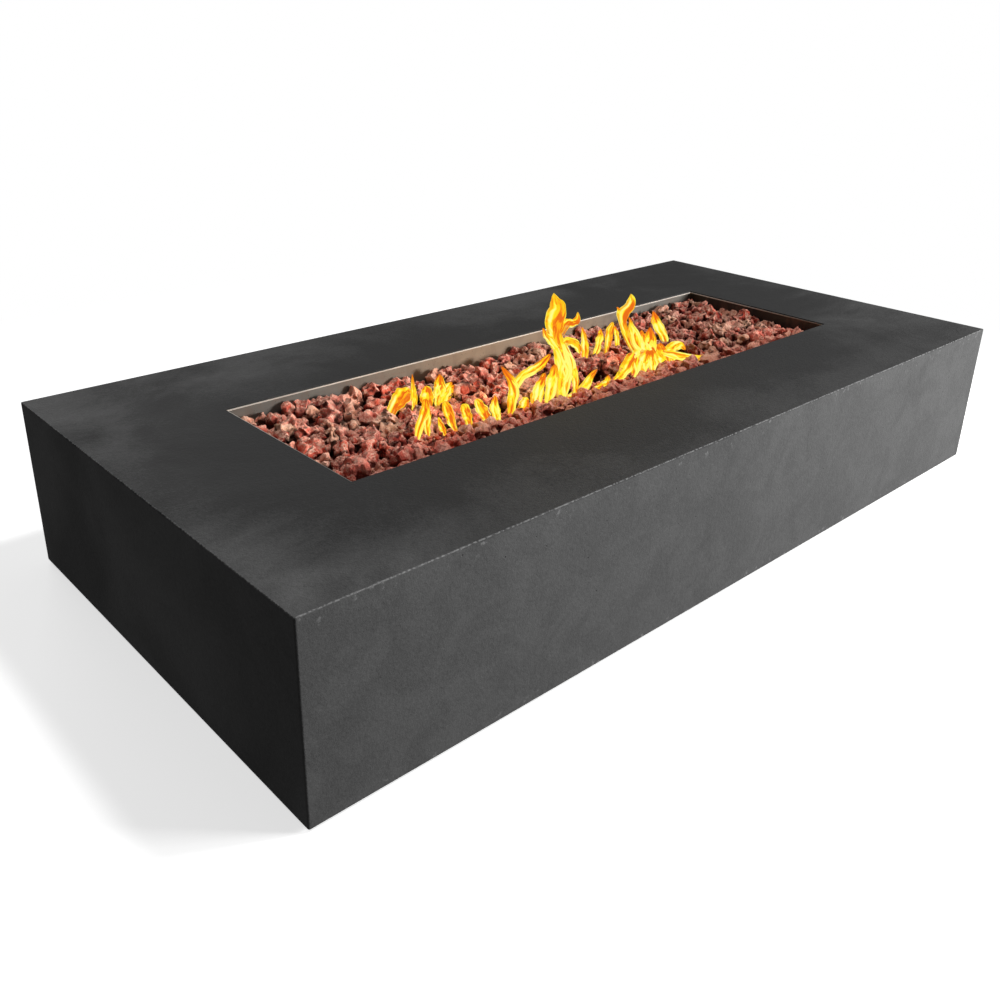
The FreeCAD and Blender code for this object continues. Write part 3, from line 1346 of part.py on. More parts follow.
def meets_column(hull, columns):
    for x, y, half_length, half_width in columns:
        if (hull.low[0] < x + half_length and hull.high[0] > x - half_length
                and hull.low[1] < y + half_width and hull.high[1] > y - half_width):
            return True
    return False


def rock_ceiling(x):
    """The highest that the rock may reach, lower along the burner than at the two ends."""
    share = min(max((abs(x) - PILE_START) / (PILE_END - PILE_START), 0.0), 1.0)
    depth = MIDDLE_DEPTH + (END_DEPTH - MIDDLE_DEPTH) * share
    return TABLE_HEIGHT - depth


def rock_sites(dice, layer):
    long_half, short_half = pan_inside(SEAT)
    columns = int(2 * long_half / ROCK_PITCH)
    rows = int(2 * short_half / ROCK_PITCH)
    step_x = 2 * long_half / columns
    step_y = 2 * short_half / rows
    sites = []
    for column in range(columns):
        for row in range(rows):
            x = -long_half + (column + 0.5 + 0.5 * (row % 2) - 0.25) * step_x
            y = -short_half + (row + 0.5) * step_y
            shift = 0.5 * ROCK_PITCH * (layer % 2)
            sites.append((x + shift + dice.uniform(-1, 1) * ROCK_JITTER,
                          y + shift * 0.7 + dice.uniform(-1, 1) * ROCK_JITTER))
    return sites


def clamped(value, low, high):
    return min(max(value, low), high)


def rock_at(dice, x, y, scale):
    shape = rock_shape(dice, dice.uniform(ROCK_SMALL, ROCK_LARGE) * scale)
    long_half, short_half = pan_inside(SEAT + FIT)
    x = clamped(x, -long_half - shape.low[0], long_half - shape.high[0])
    y = clamped(y, -short_half - shape.low[1], short_half - shape.high[1])
    return shape.moved([x, y, TABLE_HEIGHT + 2 * ROCK_LARGE])


def settled(rock, neighbours):
    drop = rock.low[2] - FILLER_TOP
    for other in neighbours:
        gap = gap_between(rock, other)
        if gap is not None:
            drop = min(drop, gap)
    return rock.moved([0, 0, ROCK_GAP - drop])


def fitting_rock(dice, x, y, columns, others):
    """A rock that fits at this place, tried smaller each time, or None."""
    for attempt in range(ROCK_TRIES):
        rock = rock_at(dice, x, y, ROCK_SHRINK ** attempt)
        if meets_column(rock, columns):
            continue
        rock = settled(rock, others)
        middle = (rock.low[0] + rock.high[0]) / 2
        if rock.high[2] < rock_ceiling(middle) + dice.uniform(-6, 4):
            return rock
    return None


def lava_rocks():
    dice = random.Random(ROCK_SEED)
    columns = flame_keep_outs()
    fixed = burner_hulls()
    rocks = []
    for layer in range(ROCK_LAYERS):
        for x, y in rock_sites(dice, layer):
            rock = fitting_rock(dice, x, y, columns, fixed + rocks)
            if rock:
                rocks.append(rock)
    return rocks


def rock_solid(rock):
    faces = []
    for face in rock.faces:
        corners = [V(*rock.corners[i]) for i in face + face[:1]]
        faces.append(Part.Face(Part.makePolygon(corners)))
    return Part.makeSolid(Part.makeShell(faces))


def save_rocks():
    groups = {"lava_rocks_left": [], "lava_rocks_middle": [], "lava_rocks_right": []}
    for rock in lava_rocks():
        middle = (rock.low[0] + rock.high[0]) / 2
        third = BURNER_LENGTH / 4
        name = "lava_rocks_middle"
        if middle < -third:
            name = "lava_rocks_left"
        if middle > third:
            name = "lava_rocks_right"
        groups[name].append(rock_solid(rock))
    for name, solids in groups.items():
        print(name, len(solids), "rocks")
        save(name, solids)


def main():
    save("concrete_shell", [concrete_shell()])
    save("foot_pads", foot_pads())
    save("slab_inserts", slab_inserts())
    save("wall_inserts", wall_inserts())
    save("pan_rail_front", [pan_rail(-1)])
    save("pan_rail_rear", [pan_rail(1)])
    save("rail_bolts", rail_bolts())
    save("inlet_bolts", inlet_bolts())
    save("washers", washers())
    save("fire_pan", [fire_pan()])
    save("burner_tube_front", [burner_tube(-1)])
    save("burner_tube_rear", [burner_tube(1)])
    save("burner_caps", burner_caps())
    save("crossbar_stubs", crossbar_stubs())
    save("hub_tee", [hub_tee()])
    save("hub_nipple", [hub_nipple()])
    save("hub_washer", [hub_washer()])
    save("hub_locknut", [hub_locknut()])
    save("burner_supports", burner_supports())
    save("inlet_elbow", [inlet_elbow()])
    save("air_mixer", [air_mixer()])
    save("orifice_fitting", [orifice_fitting()])
    save("gas_valve_body", [gas_valve_body()])
    save("valve_stem", [valve_stem()])
    save("thrust_washer", [thrust_washer()])
    save("valve_spring", [valve_spring()])
    save("panel_nut", [panel_nut()])
    save("valve_elbow", [valve_elbow()])
    save("control_knob", [control_knob()])
    save("hose_nuts", hose_nuts())
    save("burner_hose", [burner_hose()])
    save("inlet_hose", [inlet_hose()])
    save("control_box", [control_box()])
    save("box_screws", box_screws())
    save("igniter_body", [igniter_body()])
    save("igniter_nut", [igniter_nut()])
    save("igniter_button", [igniter_button()])
    save("igniter_spring", [igniter_spring()])
    save("electrode_insulator", [electrode()])
    save("electrode_rod", [electrode_rod()])
    save("flame_sensor", [flame_sensor()])
    save("ignition_bracket", [ignition_bracket()])
    save("lead_boot", [lead_boot()])
    save("ignition_lead", [ignition_lead()])
    save("sensor_lead", [sensor_lead()])
    save("inlet_plate", [inlet_plate()])
    save("gas_inlet_fitting", [gas_inlet_fitting()])
    save("inlet_locknut", [inlet_locknut()])
    save("vent_plates", vent_plates())
    save("vent_screws", vent_screws())
    save("lava_filler", [lava_filler()])
    save_rocks()
    save("flames", flames())


main()
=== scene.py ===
import math

import bmesh
import bpy
from bpy.props import FloatProperty, FloatVectorProperty, IntProperty, PointerProperty
from bpy.types import Operator, Panel, PropertyGroup
from mathutils import Matrix, Vector, noise


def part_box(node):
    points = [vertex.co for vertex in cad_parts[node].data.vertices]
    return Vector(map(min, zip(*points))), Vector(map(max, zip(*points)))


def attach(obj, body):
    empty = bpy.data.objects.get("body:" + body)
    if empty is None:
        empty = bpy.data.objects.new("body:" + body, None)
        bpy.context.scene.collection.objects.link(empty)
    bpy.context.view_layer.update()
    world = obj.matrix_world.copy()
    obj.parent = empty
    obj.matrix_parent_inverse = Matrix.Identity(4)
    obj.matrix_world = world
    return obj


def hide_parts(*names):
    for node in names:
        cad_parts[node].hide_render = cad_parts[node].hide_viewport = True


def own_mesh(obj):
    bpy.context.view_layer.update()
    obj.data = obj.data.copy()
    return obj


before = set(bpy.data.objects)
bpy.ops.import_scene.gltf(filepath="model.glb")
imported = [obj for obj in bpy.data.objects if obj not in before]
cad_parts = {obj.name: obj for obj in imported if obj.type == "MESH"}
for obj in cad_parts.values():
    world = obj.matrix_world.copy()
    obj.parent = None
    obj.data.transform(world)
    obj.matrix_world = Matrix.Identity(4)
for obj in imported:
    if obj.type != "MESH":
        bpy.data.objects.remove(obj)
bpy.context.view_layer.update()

bl_info = {
    "name": "Fire pit table finish",
    "version": (1, 0, 0),
    "blender": (4, 5, 0),
    "location": "3D View > Sidebar > Fire pit",
    "description": "Concrete, metal, lava and flame finishes for the fire pit table",
    "category": "Object",
}

PICTURE_SIZE = 1000
SENSOR_WIDTH = 36.0

# Directions of the rays that test how much of the sky a point of a stone sees
SKY_RAYS = ((0, 0, 1), (0.7, 0, 0.7), (-0.7, 0, 0.7), (0, 0.7, 0.7), (0, -0.7, 0.7))
RAY_START = 0.0012
MERGE_REACH = 0.00001


def paint(red, green, blue):
    """A colour in scene values from its 0 to 255 picture values."""
    shares = [value / 255 for value in (red, green, blue)]
    return tuple(s / 12.92 if s <= 0.04045 else ((s + 0.055) / 1.055) ** 2.4 for s in shares)


def colour_setting(name, description, picture_values):
    return FloatVectorProperty(name=name, description=description, subtype="COLOR", size=3,
                               min=0, max=1, default=paint(*picture_values))


def length_setting(name, description, default):
    return FloatProperty(name=name, description=description, unit="LENGTH", min=0, default=default)


def share_setting(name, description, default):
    return FloatProperty(name=name, description=description, subtype="FACTOR",
                         min=0, max=1, default=default)


# Sizes and colours

class ConcreteSettings(PropertyGroup):
    dark: colour_setting("Dark", "Damp, troweled areas of the concrete", (42, 42, 42))
    light: colour_setting("Light", "Drier areas of the concrete", (96, 96, 96))
    dust: colour_setting("Dust", "Pale bloom and rubbed edges", (150, 150, 150))
    cloud: length_setting("Cloud size", "Size of the large tone patches", 0.30)
    stroke: length_setting("Stroke size", "Length of the trowel strokes", 0.11)
    grain: length_setting("Grain size", "Size of the sand grain in the skin", 0.0022)
    pit: length_setting("Pit spacing", "Spacing of the small air pits", 0.020)
    pit_tone: colour_setting("Pit tone", "Shade in the small air pits", (30, 30, 31))
    edge_wear: share_setting("Edge wear", "How much of the top edge is rubbed pale", 0.50)


class StoneSettings(PropertyGroup):
    maroon: colour_setting("Maroon", "Darkest stones", (138, 48, 42))
    red: colour_setting("Red", "Rust red stones", (240, 98, 72))
    mauve: colour_setting("Mauve", "Pink and mauve stones", (240, 138, 120))
    tan: colour_setting("Tan", "Palest stones", (250, 192, 156))
    # The hollow colour is painted shade in the pits, the gaps and under the stones, and darkens
    # the painted shadow at the right end
    hollow: colour_setting("Hollow", "Colour deep in the pits", (34, 7, 6))
    # The bloom colour is dust and a painted highlight on the high spots and upper faces
    bloom: colour_setting("Bloom", "Dusty colour on the high spots", (255, 206, 180))
    detail: IntProperty(name="Detail", description="How often each face of a stone is divided",
                        default=3, min=1, max=3)
    lump: length_setting("Lump size", "Size of a stone's lumps", 0.019)
    lump_height: length_setting("Lump height", "Height of a stone's lumps", 0.0230)
    knob: length_setting("Crumb size", "Size of the crumbs on a stone", 0.0062)
    knob_height: length_setting("Crumb height", "Height of the crumbs on a stone", 0.0046)
    scoop: length_setting("Scoop size", "Size of a stone's hollow scoops", 0.0135)
    scoop_depth: length_setting("Scoop depth", "Depth of a stone's hollow scoops", 0.0240)
    shade_reach: length_setting("Shade reach", "How far off a stone can shade another", 0.030)
    hole: length_setting("Hole spacing", "Spacing of the gas holes in a stone", 0.0066)
    hole_depth: length_setting("Hole depth", "Depth of the gas holes in a stone", 0.0060)
    wall_gap: length_setting("Wall gap", "Gap between the stones and the pan", 0.0006)
    shown: IntProperty(name="Shown", description="How many of the highest stones are fine",
                       default=118, min=1)
    seed: IntProperty(name="Seed", description="Seed of the stones' tints", default=4)


class FillerSettings(PropertyGroup):
    size: length_setting("Size", "Radius of a small stone", 0.0068)
    density: FloatProperty(name="Density", description="Small stones on a square metre",
                           default=9500, min=0)
    inset: length_setting("Inset", "Gap between the bed and the pan", 0.010)
    sink: length_setting("Sink", "Depth of the bed under the small stones", 0.002)
    roughness: length_setting("Roughness", "Height of the lumps on a small stone", 0.006)
    shade_reach: length_setting("Shade reach", "How far off a stone can shade another", 0.012)
    seed: IntProperty(name="Seed", description="Seed of the small stones", default=7)


class FlameSettings(PropertyGroup):
    ember: colour_setting("Ember", "Thin outer edge", (228, 104, 24))
    orange: colour_setting("Orange", "Body of the cooler tongues", (244, 138, 26))
    amber: colour_setting("Amber", "Between orange and yellow", (254, 196, 30))
    yellow: colour_setting("Yellow", "Body of the hot tongues", (255, 236, 44))
    white: colour_setting("White", "Hottest cores", (255, 251, 158))
    thickness: length_setting("Thickness", "Half the depth of a tongue", 0.0100)
    strength: FloatProperty(name="Strength", description="Strength of the flames' own light",
                            default=1.08, min=0)
    glow: FloatProperty(name="Glow", description="Power of each warm lamp in the fire",
                        unit="POWER", default=0.025, min=0)
    glow_colour: FloatVectorProperty(name="Glow colour", description="Colour of the warm lamps",
                                     subtype="COLOR", size=3, min=0, max=1,
                                     default=(1.0, 0.66, 0.34))
    glow_radius: length_setting("Glow radius", "Radius of each warm lamp", 0.008)


class FittingSettings(PropertyGroup):
    pan: colour_setting("Pan", "Brushed sheet of the fire pan", (104, 102, 96))
    # The pan heat colour is a straw heat tint and also a painted warm glow of the fire on the back
    # wall
    pan_heat_and_glow: colour_setting("Pan heat", "Straw tint by the fire", (152, 124, 94))
    # The pan shade colour is painted shade on the right end wall of the pan
    pan_shade: colour_setting("Pan shade", "Sooted end of the pan", (30, 25, 21))
    pan_stain: colour_setting("Pan stain", "Streaks down the pan's walls", (104, 84, 70))
    pan_spot: colour_setting("Pan spot", "Small burnt spots on the pan", (60, 46, 38))
    # The pan rim colour is a painted highlight along the pan's top edge
    pan_rim_highlight: colour_setting("Pan rim", "Bright cut edge of the pan", (214, 206, 196))
    burner: colour_setting("Burner", "Heat-browned burner tube", (142, 96, 66))
    burner_dark: colour_setting("Burner dark", "Darkest tint of the burner tube", (74, 52, 44))
    burner_straw: colour_setting("Burner straw", "Straw tint of the burner", (182, 130, 84))
    burner_blue: colour_setting("Burner blue", "Hottest tint of the burner tube", (96, 90, 104))
    soot: colour_setting("Soot", "Soot on the burner tube", (40, 30, 26))
    galvanised: colour_setting("Galvanised", "Zinc-coated sheet", (168, 172, 174))
    brass: colour_setting("Brass", "Gas fittings", (194, 158, 92))
    steel: colour_setting("Steel", "Bolts, springs and stainless hose", (158, 158, 156))
    coated: colour_setting("Coated", "Powder-coated box and vents", (52, 53, 55))
    knob: colour_setting("Knob", "Satin control knob", (176, 176, 174))
    igniter: colour_setting("Igniter", "Moulded body of the igniter", (34, 34, 35))
    button: colour_setting("Button", "Spark button", (150, 30, 26))
    ceramic: colour_setting("Ceramic", "Glazed electrode sleeve", (222, 214, 200))
    lead: colour_setting("Lead", "Silicone skin of the ignition lead", (58, 50, 48))
    copper: colour_setting("Copper", "Thin tube of the flame sensor", (184, 110, 76))
    rubber: colour_setting("Rubber", "Foot pads", (28, 28, 28))


class StageSettings(PropertyGroup):
    camera_place: FloatVectorProperty(name="Camera", description="Place of the camera",
                                      unit="LENGTH", size=3, default=(-1.2799, -1.1880, 0.8673))
    azimuth: FloatProperty(name="Azimuth", description="Heading of the camera from +Y",
                           unit="ROTATION", default=math.radians(42.66))
    elevation: FloatProperty(name="Elevation", description="How far the camera looks down",
                             unit="ROTATION", default=math.radians(22.55))
    roll: FloatProperty(name="Roll", description="Turn of the camera about its own axis",
                        unit="ROTATION", default=math.radians(1.13))
    lens: FloatProperty(name="Lens", description="Focal length in millimetres",
                        default=35.504, min=1)
    centre: FloatVectorProperty(name="Centre", description="Picture point on the lens axis",
                                size=2, default=(492.1, 432.6))
    key: FloatProperty(name="Key", description="Power of the lamp at the front right",
                       unit="POWER", default=142, min=0)
    fill: FloatProperty(name="Fill", description="Power of the lamp overhead",
                        unit="POWER", default=140, min=0)
    back: FloatProperty(name="Back", description="Power of the lamp behind the table",
                        unit="POWER", default=34, min=0)
    sky: FloatProperty(name="Sky", description="Strength of the light all round",
                       default=0.118, min=0)
    floor_bounce: share_setting("Floor bounce", "How much light the floor throws back", 0.12)
    floor_gloss: share_setting("Floor gloss", "Brightness of the floor in reflections", 0.30)
    floor_lift: share_setting("Floor lift", "How much the seen floor is lifted to white", 0.66)


# Shader and mesh helpers

class Shader:
    """One material built from linked nodes on the part's own coordinates."""

    def __init__(self, name):
        self.material = bpy.data.materials.new(name)
        self.material.use_nodes = True
        self.tree = self.material.node_tree
        self.tree.nodes.clear()
        self.output = self.node("ShaderNodeOutputMaterial")
        self.place = self.node("ShaderNodeTexCoord").outputs["Object"]

    def node(self, kind, **settings):
        made = self.tree.nodes.new(kind)
        for key, value in settings.items():
            setattr(made, key, value)
        return made

    def feed(self, socket, value):
        if isinstance(value, bpy.types.NodeSocket):
            self.tree.links.new(value, socket)
        elif socket.type == "RGBA" and len(value) == 3:
            socket.default_value = (*value, 1)
        else:
            socket.default_value = value

    def maths(self, operation, first, second=0.0, clamp=False):
        made = self.node("ShaderNodeMath", operation=operation, use_clamp=clamp)
        self.feed(made.inputs[0], first)
        self.feed(made.inputs[1], second)
        return made.outputs[0]

    def times(self, first, second):
        return self.maths("MULTIPLY", first, second)

    def plus(self, first, second, clamp=False):
        return self.maths("ADD", first, second, clamp)

    def minus(self, first, second):
        return self.maths("SUBTRACT", first, second)

    def larger(self, first, second):
        return self.maths("MAXIMUM", first, second)

    def stretched(self, stretch, turn=0.0):
        made = self.node("ShaderNodeMapping")
        self.feed(made.inputs["Vector"], self.place)
        self.feed(made.inputs["Rotation"], (0, 0, turn))
        self.feed(made.inputs["Scale"], stretch)
        return made.outputs[0]

    def clouds(self, size, detail=4.0, roughness=0.5, place=None, distortion=0.0):
        made = self.node("ShaderNodeTexNoise")
        self.feed(made.inputs["Vector"], place or self.place)
        self.feed(made.inputs["Scale"], 1 / size)
        self.feed(made.inputs["Detail"], detail)
        self.feed(made.inputs["Roughness"], roughness)
        self.feed(made.inputs["Distortion"], distortion)
        return made.outputs[0]

    def cells(self, size, output="Distance"):
        made = self.node("ShaderNodeTexVoronoi")
        self.feed(made.inputs["Vector"], self.place)
        self.feed(made.inputs["Scale"], 1 / size)
        return made.outputs[output]

    def band(self, value, low, high, to_low=0.0, to_high=1.0):
        made = self.node("ShaderNodeMapRange", clamp=True, interpolation_type="SMOOTHSTEP")
        for key, setting in (("Value", value), ("From Min", low), ("From Max", high),
                             ("To Min", to_low), ("To Max", to_high)):
            self.feed(made.inputs[key], setting)
        return made.outputs[0]

    def axes(self):
        made = self.node("ShaderNodeSeparateXYZ")
        self.feed(made.inputs[0], self.place)
        return made.outputs

    def near(self, place, reach):
        """1 at a place, falling to 0 at its reach."""
        made = self.node("ShaderNodeVectorMath", operation="DISTANCE")
        self.feed(made.inputs[0], self.place)
        self.feed(made.inputs[1], place)
        return self.band(made.outputs["Value"], 0.0, reach, 1.0, 0.0)

    def attribute(self, name):
        return self.node("ShaderNodeAttribute", attribute_name=name).outputs["Fac"]

    def mixed(self, share, first, second):
        made = self.node("ShaderNodeMix", data_type="RGBA", clamp_factor=True)
        colours = [s for s in made.inputs if s.type == "RGBA"]
        self.feed(made.inputs[0], share)
        self.feed(colours[0], first)
        self.feed(colours[1], second)
        return next(s for s in made.outputs if s.type == "RGBA")

    def graded(self, share, stops):
        """A colour that runs through (place, colour) stops."""
        made = self.node("ShaderNodeValToRGB")
        ramp = made.color_ramp
        while len(ramp.elements) < len(stops):
            ramp.elements.new(0.5)
        for element, (place, colour) in zip(ramp.elements, stops):
            element.position = place
            element.color = (*colour, 1)
        self.feed(made.inputs[0], share)
        return made.outputs[0]

    def bumped(self, height, depth, strength=1.0, under=None):
        made = self.node("ShaderNodeBump")
        self.feed(made.inputs["Height"], height)
        self.feed(made.inputs["Distance"], depth)
        self.feed(made.inputs["Strength"], strength)
        if under:
            self.feed(made.inputs["Normal"], under)
        return made.outputs[0]

    def glow(self, colour, strength):
        made = self.node("ShaderNodeEmission")
        self.feed(made.inputs["Color"], colour)
        self.feed(made.inputs["Strength"], strength)
        return made.outputs[0]

    def either(self, share, first, second):
        """The first shader, giving way to the second as the share rises."""
        made = self.node("ShaderNodeMixShader")
        for socket, value in zip(made.inputs, (share, first, second)):
            self.feed(socket, value)
        return made.outputs[0]

    def surfaced(self, **inputs):
        """Finishes the material with one surface shader."""
        made = self.node("ShaderNodeBsdfPrincipled")
        for key, value in inputs.items():
            self.feed(made.inputs[key.replace("_", " ")], value)
        self.tree.links.new(made.outputs[0], self.output.inputs["Surface"])
        return self.material


class Growth:
    """One geometry node group with named inputs, and the modifier that runs it."""

    def __init__(self, name):
        self.group = bpy.data.node_groups.new(name, "GeometryNodeTree")
        self.group.interface.new_socket("Geometry", in_out="OUTPUT",
                                        socket_type="NodeSocketGeometry")
        self.given = self.group.nodes.new("NodeGroupInput")
        self.values = {}
        self.geometry = self.input("Geometry", "NodeSocketGeometry")

    def input(self, name, kind, value=None):
        socket = self.group.interface.new_socket(name, in_out="INPUT", socket_type=kind)
        if value is not None:
            self.values[socket.identifier] = value
        return next(s for s in self.given.outputs if s.identifier == socket.identifier)

    def node(self, kind, inputs=(), **settings):
        made = self.group.nodes.new(kind)
        for key, value in settings.items():
            setattr(made, key, value)
        for key, value in dict(inputs).items():
            socket = next(s for s in made.inputs if s.name == key and s.enabled)
            if isinstance(value, bpy.types.NodeSocket):
                self.group.links.new(value, socket)
            else:
                socket.default_value = value
        return made

    def out(self, made, name=None):
        return next(s for s in made.outputs if s.enabled and (name is None or s.name == name))

    def maths(self, operation, first, second=0.0):
        made = self.group.nodes.new("ShaderNodeMath")
        made.operation = operation
        for socket, value in zip(made.inputs, (first, second)):
            if isinstance(value, bpy.types.NodeSocket):
                self.group.links.new(value, socket)
            else:
                socket.default_value = value
        return made.outputs[0]

    def times(self, first, second):
        return self.maths("MULTIPLY", first, second)

    def plus(self, first, second):
        return self.maths("ADD", first, second)

    def minus(self, first, second):
        return self.maths("SUBTRACT", first, second)

    def pushed(self, geometry, lift, low, high):
        """Moves the points along their normals, but not past the box from low to high."""
        offset = self.node("ShaderNodeVectorMath", operation="SCALE")
        self.group.links.new(self.node("GeometryNodeInputNormal").outputs[0], offset.inputs[0])
        self.group.links.new(lift, offset.inputs["Scale"])
        place = self.node("GeometryNodeInputPosition").outputs[0]
        for kind, limit in (("ADD", offset.outputs[0]), ("MINIMUM", high), ("MAXIMUM", low)):
            bound = self.node("ShaderNodeVectorMath", operation=kind)
            self.group.links.new(place, bound.inputs[0])
            self.group.links.new(limit, bound.inputs[1])
            place = bound.outputs[0]
        return self.node("GeometryNodeSetPosition",
                         {"Geometry": geometry, "Position": place}).outputs[0]

    def shaded(self, geometry, reach):
        """Stores how much of the sky is hidden over each point, and how far the point faces up."""
        start = self.node("ShaderNodeVectorMath", operation="SCALE")
        self.group.links.new(self.node("GeometryNodeInputNormal").outputs[0], start.inputs[0])
        start.inputs["Scale"].default_value = RAY_START
        source = self.node("ShaderNodeVectorMath", operation="ADD")
        self.group.links.new(self.node("GeometryNodeInputPosition").outputs[0], source.inputs[0])
        self.group.links.new(start.outputs[0], source.inputs[1])
        hidden = 0.0
        for ray in SKY_RAYS:
            cast = self.node("GeometryNodeRaycast",
                             {"Target Geometry": geometry, "Source Position": source.outputs[0],
                              "Ray Direction": ray, "Ray Length": reach})
            hidden = self.plus(self.out(cast, "Is Hit"), hidden)
        facing = self.node("ShaderNodeSeparateXYZ")
        self.group.links.new(self.node("GeometryNodeInputNormal").outputs[0], facing.inputs[0])
        for name, value in (("shade", self.maths("DIVIDE", hidden, len(SKY_RAYS))),
                            ("upward", facing.outputs[2])):
            geometry = self.node("GeometryNodeStoreNamedAttribute",
                                 {"Geometry": geometry, "Name": name, "Value": value},
                                 data_type="FLOAT", domain="POINT").outputs[0]
        return geometry

    def finish(self, geometry, material_socket):
        """Realizes the instances, gives them their material and closes the group."""
        real = self.node("GeometryNodeRealizeInstances", {"Geometry": geometry})
        coated = self.node("GeometryNodeSetMaterial",
                           {"Geometry": real.outputs[0], "Material": material_socket})
        end = self.group.nodes.new("NodeGroupOutput")
        self.group.links.new(coated.outputs[0], end.inputs[0])

    def run_on(self, piece):
        """Runs the group on a piece and leaves it as a plain mesh."""
        modifier = piece.modifiers.new(self.group.name, "NODES")
        modifier.node_group = self.group
        for identifier, value in self.values.items():
            modifier[identifier] = value
        depsgraph = bpy.context.evaluated_depsgraph_get()
        made = bpy.data.meshes.new_from_object(piece.evaluated_get(depsgraph),
                                               preserve_all_data_layers=True, depsgraph=depsgraph)
        piece.modifiers.clear()
        piece.data = made
        if not made.polygons:
            raise RuntimeError(f"{piece.name} came out empty")


def new_piece(name, mesh):
    piece = bpy.data.objects.new(name, mesh)
    bpy.context.scene.collection.objects.link(piece)
    return piece


def merged_copy(name, node):
    """A copy of a node's mesh with its loose triangles joined up."""
    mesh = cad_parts[node].data.copy()
    work = bmesh.new()
    work.from_mesh(mesh)
    bmesh.ops.remove_doubles(work, verts=work.verts, dist=MERGE_REACH)
    work.to_mesh(mesh)
    work.free()
    return new_piece(name, mesh)


def mark_seen(mesh, count):
    """Marks the faces of the highest stones, which are the ones that show."""
    work = bmesh.new()
    work.from_mesh(mesh)
    layer = work.faces.layers.int.new("stone")
    stones = []
    for face in work.faces:
        if face[layer]:
            continue
        stones.append(0.0)
        face[layer] = len(stones)
        edge = [face]
        while edge:
            current = edge.pop()
            stones[-1] = max(stones[-1], max(v.co.z for v in current.verts))
            for beside in {f for v in current.verts for f in v.link_faces if not f[layer]}:
                beside[layer] = len(stones)
                edge.append(beside)
    ranked = sorted(range(len(stones)), key=lambda i: -stones[i])[:count]
    shown = {i + 1 for i in ranked}
    flags = [face[layer] in shown for face in work.faces]
    work.free()
    mesh.attributes.new("seen", "BOOLEAN", "FACE").data.foreach_set("value", flags)


def seat(piece, slot, *nodes):
    """Rides a finished piece on the table in place of its nodes."""
    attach(piece, "table")
    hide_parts(*nodes)


# Camera

def camera_axes():
    """The camera's right, up and forward directions."""
    stage = bpy.context.scene.firepit_stage
    level = math.cos(stage.elevation)
    forward = Vector((math.sin(stage.azimuth) * level, math.cos(stage.azimuth) * level,
                      -math.sin(stage.elevation)))
    right = Vector((math.cos(stage.azimuth), -math.sin(stage.azimuth), 0))
    up = right.cross(forward)
    turn = Matrix.Rotation(-stage.roll, 3, forward)
    return turn @ right, turn @ up, forward


def on_upright_plane(x, y, depth):
    """Where the line of sight through a picture point meets the upright plane Y = depth."""
    stage = bpy.context.scene.firepit_stage
    right, up, forward = camera_axes()
    focal = stage.lens / SENSOR_WIDTH * PICTURE_SIZE
    line = forward * focal + right * (x - stage.centre[0]) - up * (y - stage.centre[1])
    start = Vector(stage.camera_place)
    return start + line * ((depth - start.y) / line.y)


class FIREPIT_OT_camera(Operator):
    """Sets the camera where the picture was taken from"""
    bl_idname = "firepit.camera"
    bl_label = "Camera"

    def execute(self, context):
        stage = context.scene.firepit_stage
        right, up, forward = camera_axes()
        data = bpy.data.cameras.new("picture_camera")
        data.sensor_width = SENSOR_WIDTH
        data.lens = stage.lens
        data.shift_x = 0.5 - stage.centre[0] / PICTURE_SIZE
        data.shift_y = stage.centre[1] / PICTURE_SIZE - 0.5
        camera = bpy.data.objects.new("picture_camera", data)
        turn = Matrix((right, up, -forward)).transposed().to_4x4()
        camera.matrix_world = Matrix.Translation(stage.camera_place) @ turn
        context.scene.collection.objects.link(camera)
        context.scene.camera = camera
        return {"FINISHED"}


# Concrete

